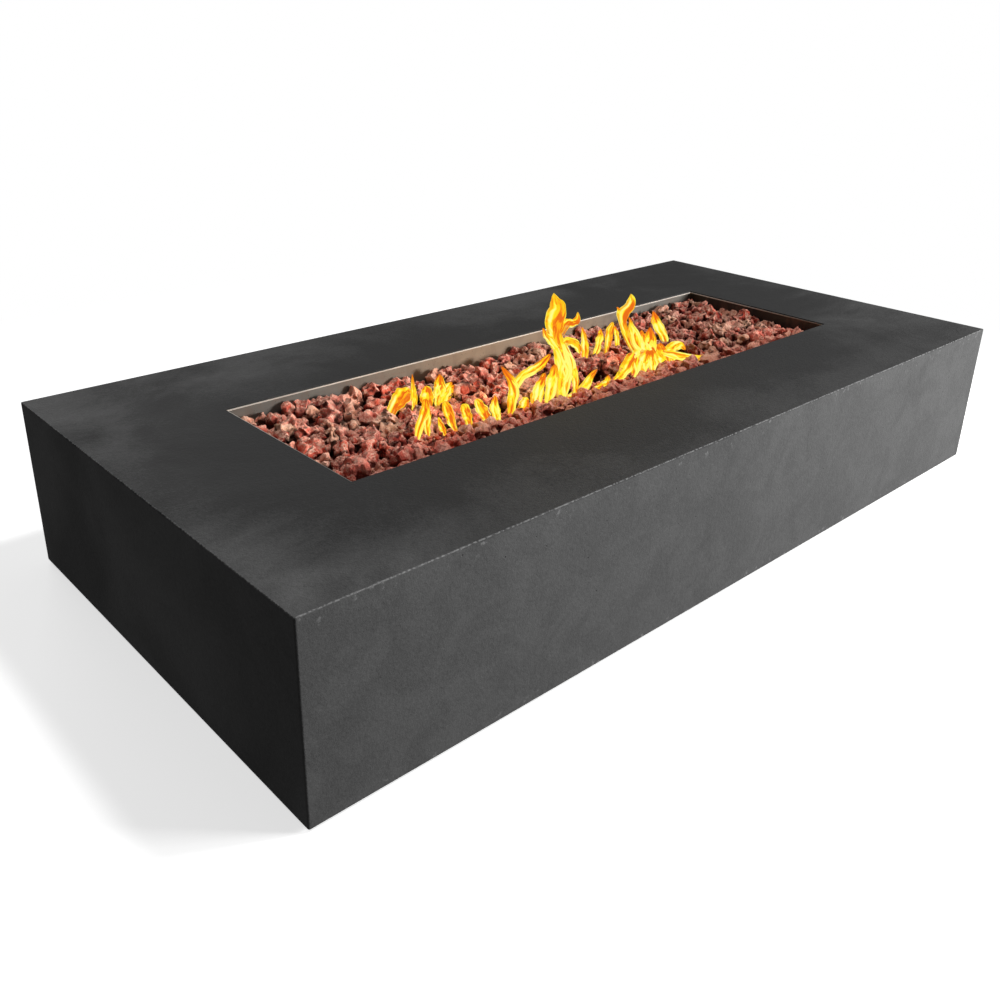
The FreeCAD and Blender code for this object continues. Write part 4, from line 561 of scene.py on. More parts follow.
def concrete_finish():
    """Troweled concrete: clouded tone, a top darkened by painted shade, rubbed edges, air pits and
    a sandy skin.
    """
    look = bpy.context.scene.firepit_concrete
    shader = Shader("cast_concrete")
    low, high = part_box("concrete_shell")
    x, y, z = shader.axes()
    clouds = shader.clouds(look.cloud, 5, 0.58, distortion=0.6)
    strokes = shader.clouds(look.stroke, 5, 0.62, shader.stretched((0.55, 1.3, 1.3), 0.2), 0.5)
    peel = shader.clouds(0.006, 3, 0.6)
    grain = shader.clouds(look.grain, 3, 0.7)
    tone = shader.plus(shader.times(clouds, 0.62), shader.times(strokes, 0.38))
    on_top = shader.band(z, high.z - 0.004, high.z - 0.001)
    tone = shader.times(shader.band(tone, 0.34, 0.66, -0.5, 0.5),
                        shader.plus(shader.times(on_top, 0.21), 0.04))
    on_front = shader.band(y, low.y + 0.001, low.y + 0.004, 1.0, 0.0)
    blotch = shader.band(shader.clouds(0.070, 4, 0.6, distortion=0.8), 0.40, 0.62, -0.06, 0.06)
    tone = shader.plus(tone, shader.times(blotch, on_front))
    speckle = shader.plus(shader.minus(grain, 0.5), shader.times(shader.minus(peel, 0.5), 0.5))
    tone = shader.plus(tone, shader.times(speckle, 0.62))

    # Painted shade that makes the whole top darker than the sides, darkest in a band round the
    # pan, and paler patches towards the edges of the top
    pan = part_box("fire_pan")[1]
    out_x = shader.maths("ABSOLUTE", x)
    out_y = shader.maths("ABSOLUTE", y)
    margin = shader.larger(shader.minus(out_x, pan.x), shader.minus(out_y, pan.y))
    margin = shader.plus(margin, shader.band(clouds, 0.3, 0.7, -0.05, 0.05))
    top_shade_and_tone = shader.band(margin, 0.06, 0.24, -0.60, -0.36)
    tone_patches = (
        # x, y, reach, how much paler
        (low.x, low.y, 0.34, 0.92),
        (low.x, 0.26, 0.40, 0.08),
        (low.x * 0.6, high.y, 0.36, 0.24),
        (high.x, low.y * 0.6, 0.40, 0.24),
        (pan.x + 0.04, -pan.y - 0.06, 0.20, 0.26),
        (0.20, high.y, 0.50, 0.22),
        (low.x + 0.12, -0.02, 0.26, -0.20),
    )
    for patch_x, patch_y, reach, weight in tone_patches:
        patch = shader.times(shader.near((patch_x, patch_y, high.z), reach), weight)
        top_shade_and_tone = shader.plus(top_shade_and_tone, shader.times(patch, shader.band(clouds, 0.36, 0.62, 0.55, 1.15)))
    # Painted shade: the top comes out darker than the sides
    tone = shader.plus(tone, shader.times(top_shade_and_tone, on_top))
    tone = shader.plus(tone, 0.5, clamp=True)
    skin = shader.mixed(tone, look.dark, look.light)

    # The top edge rubbed pale, and flecks along the front wall's edges
    side = shader.larger(shader.band(out_x, high.x - 0.0022, high.x - 0.0006),
                         shader.band(out_y, high.y - 0.0022, high.y - 0.0006))
    top = shader.band(z, high.z - 0.0022, high.z - 0.0006)
    rubbed = shader.band(shader.clouds(0.0045, 3, 0.6), 0.42, 0.58)
    arris = shader.times(shader.times(side, top), shader.times(rubbed, look.edge_wear))
    edge = shader.larger(shader.band(z, high.z - 0.030, high.z - 0.004),
                         shader.band(z, 0.004, 0.024, 1.0, 0.0))
    flecks = shader.band(shader.clouds(0.016, 5, 0.7), 0.60, 0.66, 0.0, 0.40)
    flecks = shader.times(flecks, shader.times(edge, on_front))
    arris = shader.larger(arris, flecks)
    skin = shader.mixed(arris, skin, look.dust)

    spots = shader.band(shader.cells(look.pit), 0.045, 0.085, 1.0, 0.0)
    some = shader.band(shader.clouds(0.09, 2), 0.50, 0.62)
    pits = shader.times(spots, some)
    skin = shader.mixed(shader.times(pits, 0.55), skin, look.pit_tone)

    wave = shader.bumped(strokes, 0.0010, 0.15)
    sand = shader.bumped(grain, 0.0005, 0.7, shader.bumped(peel, 0.0010, 0.6, wave))
    normal = shader.bumped(shader.minus(1.0, pits), 0.0012, 0.6, sand)
    rough = shader.band(clouds, 0.3, 0.7, 0.86, 0.72)
    return shader.surfaced(Base_Color=skin, Roughness=rough, Normal=normal,
                           Specular_IOR_Level=0.35)


# Metal, plastic, rubber and ceramic

def brushed(name, colour, along, rough, tone=0.25):
    """Sheet or bar metal with fine brush lines along one axis."""
    shader = Shader(name)
    stretch = [1.0, 1.0, 1.0]
    stretch["xyz".index(along)] = 0.03
    lines = shader.clouds(0.0011, 3, 0.6, shader.stretched(stretch))
    stain = shader.clouds(0.05, 4, 0.6)
    skin = shader.mixed(shader.band(stain, 0.35, 0.7, 0.0, tone), colour,
                        tuple(value * 0.55 for value in colour))
    skin = shader.mixed(shader.band(lines, 0.35, 0.65, 0.0, tone * 0.7), skin,
                        tuple(min(1, value * 1.35) for value in colour))
    return shader.surfaced(Base_Color=skin, Metallic=1.0,
                           Roughness=shader.band(lines, 0.3, 0.7, rough * 0.8, rough * 1.3),
                           Normal=shader.bumped(lines, 0.00015, 0.5))


def cast_metal(name, colour, rough):
    """Machined or cast metal with a fine grain and dull patches."""
    shader = Shader(name)
    grain = shader.clouds(0.0009, 3, 0.6)
    stain = shader.clouds(0.018, 4, 0.6)
    skin = shader.mixed(shader.band(stain, 0.4, 0.7, 0.0, 0.45), colour,
                        tuple(value * 0.5 for value in colour))
    return shader.surfaced(Base_Color=skin, Metallic=1.0,
                           Roughness=shader.band(stain, 0.35, 0.7, rough * 0.8, rough * 1.5),
                           Normal=shader.bumped(grain, 0.00012, 0.5))


def moulded(name, colour, rough, grain_size=0.0008, depth=0.00012):
    """Moulded or coated skin with a fine pebble grain and a few scuffs."""
    shader = Shader(name)
    grain = shader.clouds(grain_size, 2, 0.5)
    scuff = shader.band(shader.clouds(0.02, 5, 0.65), 0.58, 0.72, 0.0, 0.35)
    skin = shader.mixed(scuff, colour, tuple(min(1, value * 1.9 + 0.02) for value in colour))
    return shader.surfaced(Base_Color=skin, Normal=shader.bumped(grain, depth, 0.8),
                           Roughness=shader.band(grain, 0.3, 0.7, rough * 0.9, rough * 1.15))


def galvanised():
    look = bpy.context.scene.firepit_fittings
    shader = Shader("galvanised_sheet")
    flake = shader.node("ShaderNodeSeparateColor")
    shader.feed(flake.inputs[0], shader.cells(0.007, "Color"))
    tone = flake.outputs[0]
    skin = shader.mixed(shader.band(tone, 0.0, 1.0, 0.0, 0.5), look.galvanised,
                        tuple(value * 0.55 for value in look.galvanised))
    return shader.surfaced(Base_Color=skin, Metallic=1.0,
                           Roughness=shader.band(tone, 0.0, 1.0, 0.28, 0.5),
                           Normal=shader.bumped(tone, 0.00008, 0.4))


def pan_finish():
    """Brushed sheet with a straw heat tint and a painted warm glow by the fire, painted shade on
    the right end wall, stains and a painted highlight along the rim.
    """
    look = bpy.context.scene.firepit_fittings
    shader = Shader("fire_pan_steel")
    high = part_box("fire_pan")[1]
    x, y, z = shader.axes()
    streaks = shader.clouds(0.030, 5, 0.66, shader.stretched((1.0, 1.0, 0.30)), 0.4)
    brush = shader.clouds(0.0012, 3, 0.6, shader.stretched((0.03, 1.0, 1.0)))
    spots = shader.band(shader.clouds(0.004, 2), 0.66, 0.74, 0.0, 0.6)
    # A straw heat tint round the fire, which also stands for a painted warm glow of the fire on
    # the back wall
    heat = shader.larger(shader.near((-0.08, high.y, high.z - 0.05), 0.34),
                         shader.near((0.16, high.y, high.z - 0.05), 0.30))
    skin = shader.mixed(shader.times(heat, 0.6), look.pan, look.pan_heat_and_glow)
    # Painted shade on the right end wall of the pan
    skin = shader.mixed(shader.band(x, high.x - 0.05, high.x - 0.004, 0.0, 0.9), skin,
                        look.pan_shade)
    skin = shader.mixed(shader.band(streaks, 0.42, 0.72, 0.0, 0.40), skin, look.pan_stain)
    skin = shader.mixed(spots, skin, look.pan_spot)
    # Painted highlight along the pan's top edge, stronger towards the back
    rim = shader.times(shader.band(z, high.z - 0.0022, high.z - 0.0012),
                       shader.band(y, -0.16, 0.14, 0.25, 0.9))
    skin = shader.mixed(rim, skin, look.pan_rim_highlight)
    return shader.surfaced(Base_Color=skin, Metallic=0.45,
                           Roughness=shader.band(brush, 0.3, 0.7, 0.36, 0.56),
                           Normal=shader.bumped(brush, 0.00015, 0.5))


def burner_finish():
    look = bpy.context.scene.firepit_fittings
    shader = Shader("burner_tube_steel")
    tint = shader.clouds(0.045, 4, 0.6)
    skin = shader.graded(tint, ((0.30, look.burner_dark), (0.46, look.burner),
                                (0.58, look.burner_straw), (0.72, look.burner_blue)))
    soot = shader.band(shader.clouds(0.012, 4, 0.7), 0.5, 0.66, 0.0, 0.7)
    skin = shader.mixed(soot, skin, look.soot)
    return shader.surfaced(Base_Color=skin, Metallic=0.6,
                           Roughness=shader.band(tint, 0.3, 0.7, 0.42, 0.62),
                           Normal=shader.bumped(shader.clouds(0.002, 3), 0.0002, 0.5))


def hose_finish():
    look = bpy.context.scene.firepit_fittings
    shader = Shader("braided_hose")
    first = shader.clouds(0.0016, 1, 0.5, shader.stretched((0.25, 1.0, 1.0), 0.8))
    second = shader.clouds(0.0016, 1, 0.5, shader.stretched((0.25, 1.0, 1.0), -0.8))
    weave = shader.larger(first, second)
    skin = shader.mixed(shader.band(weave, 0.45, 0.65), tuple(v * 0.35 for v in look.steel),
                        look.steel)
    return shader.surfaced(Base_Color=skin, Metallic=1.0, Roughness=0.36,
                           Normal=shader.bumped(weave, 0.0004, 0.8))


# Turning marks on the knob, as noise scale over its radius
KNOB_RINGS = 2600.0


def knob_finish():
    """Satin metal turned about the knob's own axis."""
    look = bpy.context.scene.firepit_fittings
    shader = Shader("turned_knob")
    low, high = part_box("control_knob")
    middle = (low + high) / 2
    _, y, z = shader.axes()
    across = shader.minus(y, middle.y)
    up = shader.minus(z, middle.z)
    radius = shader.maths("SQRT", shader.plus(shader.times(across, across), shader.times(up, up)))
    rings = shader.node("ShaderNodeTexNoise", noise_dimensions="1D")
    shader.feed(rings.inputs["W"], radius)
    shader.feed(rings.inputs["Scale"], KNOB_RINGS)
    turned = rings.outputs[0]
    skin = shader.mixed(shader.band(turned, 0.3, 0.7, 0.0, 0.3), look.knob,
                        tuple(value * 0.6 for value in look.knob))
    return shader.surfaced(Base_Color=skin, Metallic=1.0,
                           Roughness=shader.band(turned, 0.3, 0.7, 0.26, 0.42),
                           Normal=shader.bumped(turned, 0.0001, 0.5))


def finishes():
    """The finish of each of the record's slots that stays on a node of the frame."""
    look = bpy.context.scene.firepit_fittings
    return {
        "concrete": concrete_finish(),
        "pan_steel": pan_finish(),
        "burner_steel": burner_finish(),
        "galvanised_steel": galvanised(),
        "fastener_steel": cast_metal("plated_fasteners", look.steel, 0.34),
        "box_steel": moulded("coated_sheet", look.coated, 0.48, 0.0012, 0.0002),
        "brass": cast_metal("gas_brass", look.brass, 0.30),
        "spring_steel": brushed("spring_wire", look.steel, "x", 0.30),
        "hose_steel": hose_finish(),
        "black_plastic": moulded("igniter_plastic", look.igniter, 0.46),
        "knob_metal": knob_finish(),
        "button_red": moulded("spark_button", look.button, 0.36),
        "ceramic": moulded("glazed_ceramic", look.ceramic, 0.24, 0.002, 0.00006),
        "lead_silicone": moulded("silicone_lead", look.lead, 0.55),
        "copper_lead": brushed("sensor_tube", look.copper, "x", 0.34),
        "pad_rubber": moulded("foot_rubber", look.rubber, 0.8, 0.0014, 0.0003),
    }


# Slots whose nodes are replaced by pieces with finishes of their own
REBUILT_SLOTS = ("lava", "lava_fine", "flame")


class FIREPIT_OT_shell_and_fittings(Operator):
    """Gives the shell, the pan and every fitting their finishes"""
    bl_idname = "firepit.shell_and_fittings"
    bl_label = "Shell and fittings"

    def execute(self, context):
        made = finishes()
        for name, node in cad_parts.items():
            slot = node.material_slots[0].material.name.split(".")[0]
            if slot in REBUILT_SLOTS:
                continue
            if slot not in made:
                raise RuntimeError(f"{name} has no finish for its slot {slot}")
            node.material_slots[0].material = made[slot]
        return {"FINISHED"}


# Springs. Each is a plain compression spring, pressed by its joint over a travel; the piece made
# here keeps its node's shape.

SPRINGS = (
    # node, joint that presses it, travel
    ("valve_spring", "knob_push", 0.003),
    ("igniter_spring", "igniter_push", 0.004),
)


class FIREPIT_OT_springs(Operator):
    """Makes the two springs as copies of their nodes, riding on the table"""
    bl_idname = "firepit.springs"
    bl_label = "Springs"

    def execute(self, context):
        for node, joint, travel in SPRINGS:
            piece = merged_copy(f"{node}_coil", node)
            seat(piece, "spring_steel", node)
            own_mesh(piece)
        return {"FINISHED"}


# Lava

def lava_finish(name, painted_shade_share, painted_shadow_share):
    """Tinted stone with dust and a painted highlight on its high spots and upper faces, painted
    shade in its pits, gaps and lower faces, a painted shadow towards the right end and painted
    light on the stones in front.
    """
    stone = bpy.context.scene.firepit_stone
    shader = Shader(name)
    tint = shader.attribute("tint")
    height = shader.attribute("height")
    patch = shader.clouds(0.013, 4, 0.6)
    mixed_tint = shader.plus(shader.times(tint, 0.75), shader.times(patch, 0.35))
    skin = shader.graded(mixed_tint, ((0.12, stone.maroon), (0.40, stone.red),
                                      (0.66, stone.mauve), (0.94, stone.tan)))
    fine = shader.clouds(0.0034, 4, 0.75)
    # Dust and a painted highlight on the high spots and on the faces that look up
    bloom = shader.times(shader.band(height, 0.54, 0.84), shader.band(fine, 0.36, 0.60))
    upward = shader.attribute("upward")
    dust_and_top_light = shader.times(shader.band(upward, 0.45, 0.95), shader.band(fine, 0.40, 0.58, 0.15, 1.0))
    bloom = shader.larger(bloom, shader.times(dust_and_top_light, 0.82))
    skin = shader.mixed(shader.times(bloom, 0.94), skin, stone.bloom)
    # Painted shade in the low spots, the gas holes, the gaps where other stones hide the sky and
    # on the faces that look down
    speck = shader.band(shader.cells(0.0034), 0.14, 0.30, 1.0, 0.0)
    speck = shader.times(speck, shader.band(fine, 0.42, 0.56))
    deep = shader.larger(shader.band(height, 0.14, 0.46, 1.0, 0.0), shader.times(speck, 0.75))
    deep = shader.larger(deep, shader.band(shader.attribute("shade"), 0.18, 0.62))
    deep = shader.larger(deep, shader.band(upward, -0.20, 0.45, 0.85, 0.0))
    skin = shader.mixed(shader.times(deep, painted_shade_share), skin, stone.hollow)
    # Painted shadow over the stones towards the right end, but not near the front
    x, y, _ = shader.axes()
    painted_shadow = shader.times(shader.band(x, -0.25, 0.30, 0.0, painted_shadow_share), shader.band(y, -0.15, -0.03))
    skin = shader.mixed(painted_shadow, skin, shader.mixed(0.5, skin, stone.hollow))
    # Painted light on the stones just behind the front wall, in a pinker tone
    painted_front_light = shader.band(y, -0.16, -0.05, 0.42, 0.0)
    skin = shader.mixed(painted_front_light, skin, stone.mauve)
    crumbs = shader.bumped(fine, 0.0034, 1.0)
    return shader.surfaced(Base_Color=skin, Roughness=0.88, Specular_IOR_Level=0.25,
                           Normal=shader.bumped(shader.minus(1.0, speck), 0.0012, 0.7, crumbs))


# Lift of a stone's skin that counts as the bottom and the top of its relief
RELIEF = (-0.0068, 0.0110)


def stone_growth(material):
    """Grows lumps, crumbs and gas holes on plain stones, and tints each one."""
    stone = bpy.context.scene.firepit_stone
    grow = Growth("lava_stone_growth")
    level = grow.input("Detail", "NodeSocketInt", stone.detail)
    lump = grow.input("Lump Size", "NodeSocketFloat", stone.lump)
    lump_height = grow.input("Lump Height", "NodeSocketFloat", stone.lump_height)
    knob = grow.input("Crumb Size", "NodeSocketFloat", stone.knob)
    knob_height = grow.input("Crumb Height", "NodeSocketFloat", stone.knob_height)
    hole = grow.input("Hole Spacing", "NodeSocketFloat", stone.hole)
    hole_depth = grow.input("Hole Depth", "NodeSocketFloat", stone.hole_depth)
    scoop = grow.input("Scoop Size", "NodeSocketFloat", stone.scoop)
    scoop_depth = grow.input("Scoop Depth", "NodeSocketFloat", stone.scoop_depth)
    bed_low, bed_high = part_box("lava_filler")
    edge = Vector((stone.wall_gap, stone.wall_gap, 0))
    low = grow.input("Low", "NodeSocketVector", bed_low + edge)
    high = grow.input("High", "NodeSocketVector", Vector((bed_high.x, bed_high.y, 1)) - edge)
    seed = grow.input("Seed", "NodeSocketInt", stone.seed)
    coat = grow.input("Material", "NodeSocketMaterial", material)

    seen = grow.node("GeometryNodeInputNamedAttribute", {"Name": "seen"}, data_type="BOOLEAN")
    split = grow.node("GeometryNodeSeparateGeometry",
                      {"Geometry": grow.geometry, "Selection": grow.out(seen, "Attribute")},
                      domain="FACE")
    fine = grow.node("GeometryNodeSubdivideMesh", {"Mesh": split.outputs[0], "Level": level})
    plain = grow.node("GeometryNodeSubdivideMesh",
                      {"Mesh": split.outputs[1], "Level": grow.minus(level, 1)})
    divided = grow.node("GeometryNodeJoinGeometry")
    grow.group.links.new(fine.outputs[0], divided.inputs[0])
    grow.group.links.new(plain.outputs[0], divided.inputs[0])
    lumps = grow.node("ShaderNodeTexNoise", {"Scale": grow.maths("DIVIDE", 1.0, lump),
                                             "Detail": 2.0, "Distortion": 0.6}).outputs[0]
    scoops = grow.node("ShaderNodeTexVoronoi", {"Scale": grow.maths("DIVIDE", 1.0, scoop)})
    crumbs = grow.node("ShaderNodeTexNoise", {"Scale": grow.maths("DIVIDE", 1.0, knob),
                                              "Detail": 3.0, "Roughness": 0.62}).outputs[0]
    cells = grow.node("ShaderNodeTexVoronoi", {"Scale": grow.maths("DIVIDE", 1.0, hole)})
    lift = grow.times(grow.minus(lumps, 0.42), lump_height)
    for value, middle, height in ((scoops.outputs["Distance"], 0.44, scoop_depth),
                                  (crumbs, 0.48, knob_height),
                                  (cells.outputs["Distance"], 0.46, hole_depth)):
        lift = grow.plus(lift, grow.times(grow.minus(value, middle), height))
    moved = grow.pushed(divided.outputs[0], lift, low, high)

    relief = grow.node("ShaderNodeMapRange", {"Value": lift, "From Min": RELIEF[0],
                                              "From Max": RELIEF[1]}).outputs[0]
    marked = grow.node("GeometryNodeStoreNamedAttribute",
                       {"Geometry": moved, "Name": "height", "Value": relief},
                       data_type="FLOAT", domain="POINT")
    island = grow.node("GeometryNodeInputMeshIsland").outputs["Island Index"]
    dice = grow.node("FunctionNodeRandomValue", {"ID": island, "Seed": seed}, data_type="FLOAT")
    tinted = grow.node("GeometryNodeStoreNamedAttribute",
                       {"Geometry": marked.outputs[0], "Name": "tint", "Value": grow.out(dice)},
                       data_type="FLOAT", domain="POINT")
    grow.finish(grow.shaded(tinted.outputs[0], stone.shade_reach), coat)
    return grow


class FIREPIT_OT_lava_stones(Operator):
    """Makes the craggy lava stones from the plain ones"""
    bl_idname = "firepit.lava_stones"
    bl_label = "Lava stones"

    def execute(self, context):
        grow = stone_growth(lava_finish("lava_stone", painted_shade_share=0.88, painted_shadow_share=0.62))
        for part in ("left", "middle", "right"):
            node = f"lava_rocks_{part}"
            piece = merged_copy(f"lava_stones_{part}", node)
            mark_seen(piece.data, context.scene.firepit_stone.shown)
            grow.run_on(piece)
            seat(piece, "lava", node)
        return {"FINISHED"}


# A face of the bed takes small stones when its normal rises at least this much
LEVEL_ENOUGH = 0.3
SMALL_STONE_GRAIN = 260.0


def filler_growth(material):
    """Scatters small uneven stones over the upper faces of the beds."""
    small = bpy.context.scene.firepit_filler
    grow = Growth("small_stone_scatter")
    size = grow.input("Size", "NodeSocketFloat", small.size)
    density = grow.input("Density", "NodeSocketFloat", small.density)
    bed_low, bed_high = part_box("lava_filler")
    low = grow.input("Low", "NodeSocketVector", bed_low)
    high = grow.input("High", "NodeSocketVector", Vector((bed_high.x, bed_high.y, 1)))
    seed = grow.input("Seed", "NodeSocketInt", small.seed)
    coat = grow.input("Material", "NodeSocketMaterial", material)
    facing = grow.node("ShaderNodeSeparateXYZ")
    grow.group.links.new(grow.node("GeometryNodeInputNormal").outputs[0], facing.inputs[0])
    upper = grow.maths("GREATER_THAN", facing.outputs[2], LEVEL_ENOUGH)
    spots = grow.node("GeometryNodeDistributePointsOnFaces",
                      {"Mesh": grow.geometry, "Selection": upper, "Density": density,
                       "Seed": seed})
    pebble = grow.node("GeometryNodeMeshIcoSphere", {"Radius": size, "Subdivisions": 1})
    turn = grow.node("FunctionNodeRandomValue", {"Min": (0, 0, 0), "Max": (6.28,) * 3,
                                                 "Seed": seed}, data_type="FLOAT_VECTOR")
    scale = grow.node("FunctionNodeRandomValue", {"Min": (0.55, 0.5, 0.45), "Max": (1.6, 1.2, 1.0),
                                                  "Seed": seed}, data_type="FLOAT_VECTOR")
    placed = grow.node("GeometryNodeInstanceOnPoints",
                       {"Points": spots.outputs["Points"], "Instance": pebble.outputs["Mesh"],
                        "Rotation": grow.out(turn), "Scale": grow.out(scale)})
    real = grow.node("GeometryNodeRealizeInstances", {"Geometry": placed.outputs[0]})
    grain = grow.node("ShaderNodeTexNoise", {"Scale": SMALL_STONE_GRAIN, "Detail": 2.0}).outputs[0]
    lift = grow.times(grow.minus(grain, 0.5), small.roughness)
    moved = grow.pushed(real.outputs[0], lift, low, high)
    both = grow.node("GeometryNodeJoinGeometry")
    grow.group.links.new(moved, both.inputs[0])
    grow.group.links.new(grow.geometry, both.inputs[0])
    marked = grow.node("GeometryNodeStoreNamedAttribute",
                       {"Geometry": both.outputs[0], "Name": "height", "Value": grain},
                       data_type="FLOAT", domain="POINT")
    island = grow.node("GeometryNodeInputMeshIsland").outputs["Island Index"]
    dice = grow.node("FunctionNodeRandomValue", {"ID": island, "Seed": seed}, data_type="FLOAT")
    tinted = grow.node("GeometryNodeStoreNamedAttribute",
                       {"Geometry": marked.outputs[0], "Name": "tint", "Value": grow.out(dice)},
                       data_type="FLOAT", domain="POINT")
    grow.finish(grow.shaded(tinted.outputs[0], small.shade_reach), coat)
    return grow


# Outline of the small stones heaped on the front burner tube: (y, z) from the tube's top line
HEAP = ((-0.026, -0.018), (0.018, -0.014), (0.014, -0.004), (0.004, 0.0022), (-0.008, 0.0015),
        (-0.020, -0.007))


def add_prism(work, outline, start, end):
    """Adds a closed prism along X from an outline of (y, z) points."""
    ends = [[work.verts.new((x, y, z)) for y, z in outline] for x in (start, end)]
    work.faces.new(ends[0])
    work.faces.new(reversed(ends[1]))
    for first in range(len(outline)):
        after = (first + 1) % len(outline)
        work.faces.new((ends[0][first], ends[1][first], ends[1][after], ends[0][after]))


class FIREPIT_OT_lava_filler(Operator):
    """Makes the bed of small stones, and the small stones heaped on the front burner tube"""
    bl_idname = "firepit.lava_filler"
    bl_label = "Lava filler"

    def execute(self, context):
        small = context.scene.firepit_filler
        low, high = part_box("lava_filler")
        inset = small.inset
        bed_top = high.z - small.sink
        work = bmesh.new()
        add_prism(work, ((low.y + inset, low.z + 0.001), (high.y - inset, low.z + 0.001),
                         (high.y - inset, bed_top), (low.y + inset, bed_top)),
                  low.x + inset, high.x - inset)
        tube_low, tube_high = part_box("burner_tube_front")
        middle = (tube_low.y + tube_high.y) / 2
        add_prism(work, [(middle + y, tube_high.z + z) for y, z in HEAP],
                  tube_low.x - inset, tube_high.x + inset)
        bmesh.ops.recalc_face_normals(work, faces=work.faces)
        mesh = bpy.data.meshes.new("lava_bed")
        work.to_mesh(mesh)
        work.free()
        piece = new_piece("lava_bed", mesh)
        coat = lava_finish("fine_lava", painted_shade_share=0.80, painted_shadow_share=0.0)
        filler_growth(coat).run_on(piece)
        seat(piece, "lava_fine", "lava_filler")
        return {"FINISHED"}


# Flames. Each tongue is a path of picture places with half widths, from its foot to its tip.
# Heat runs from orange to white, and an open tongue has a bright rim round an orange middle.

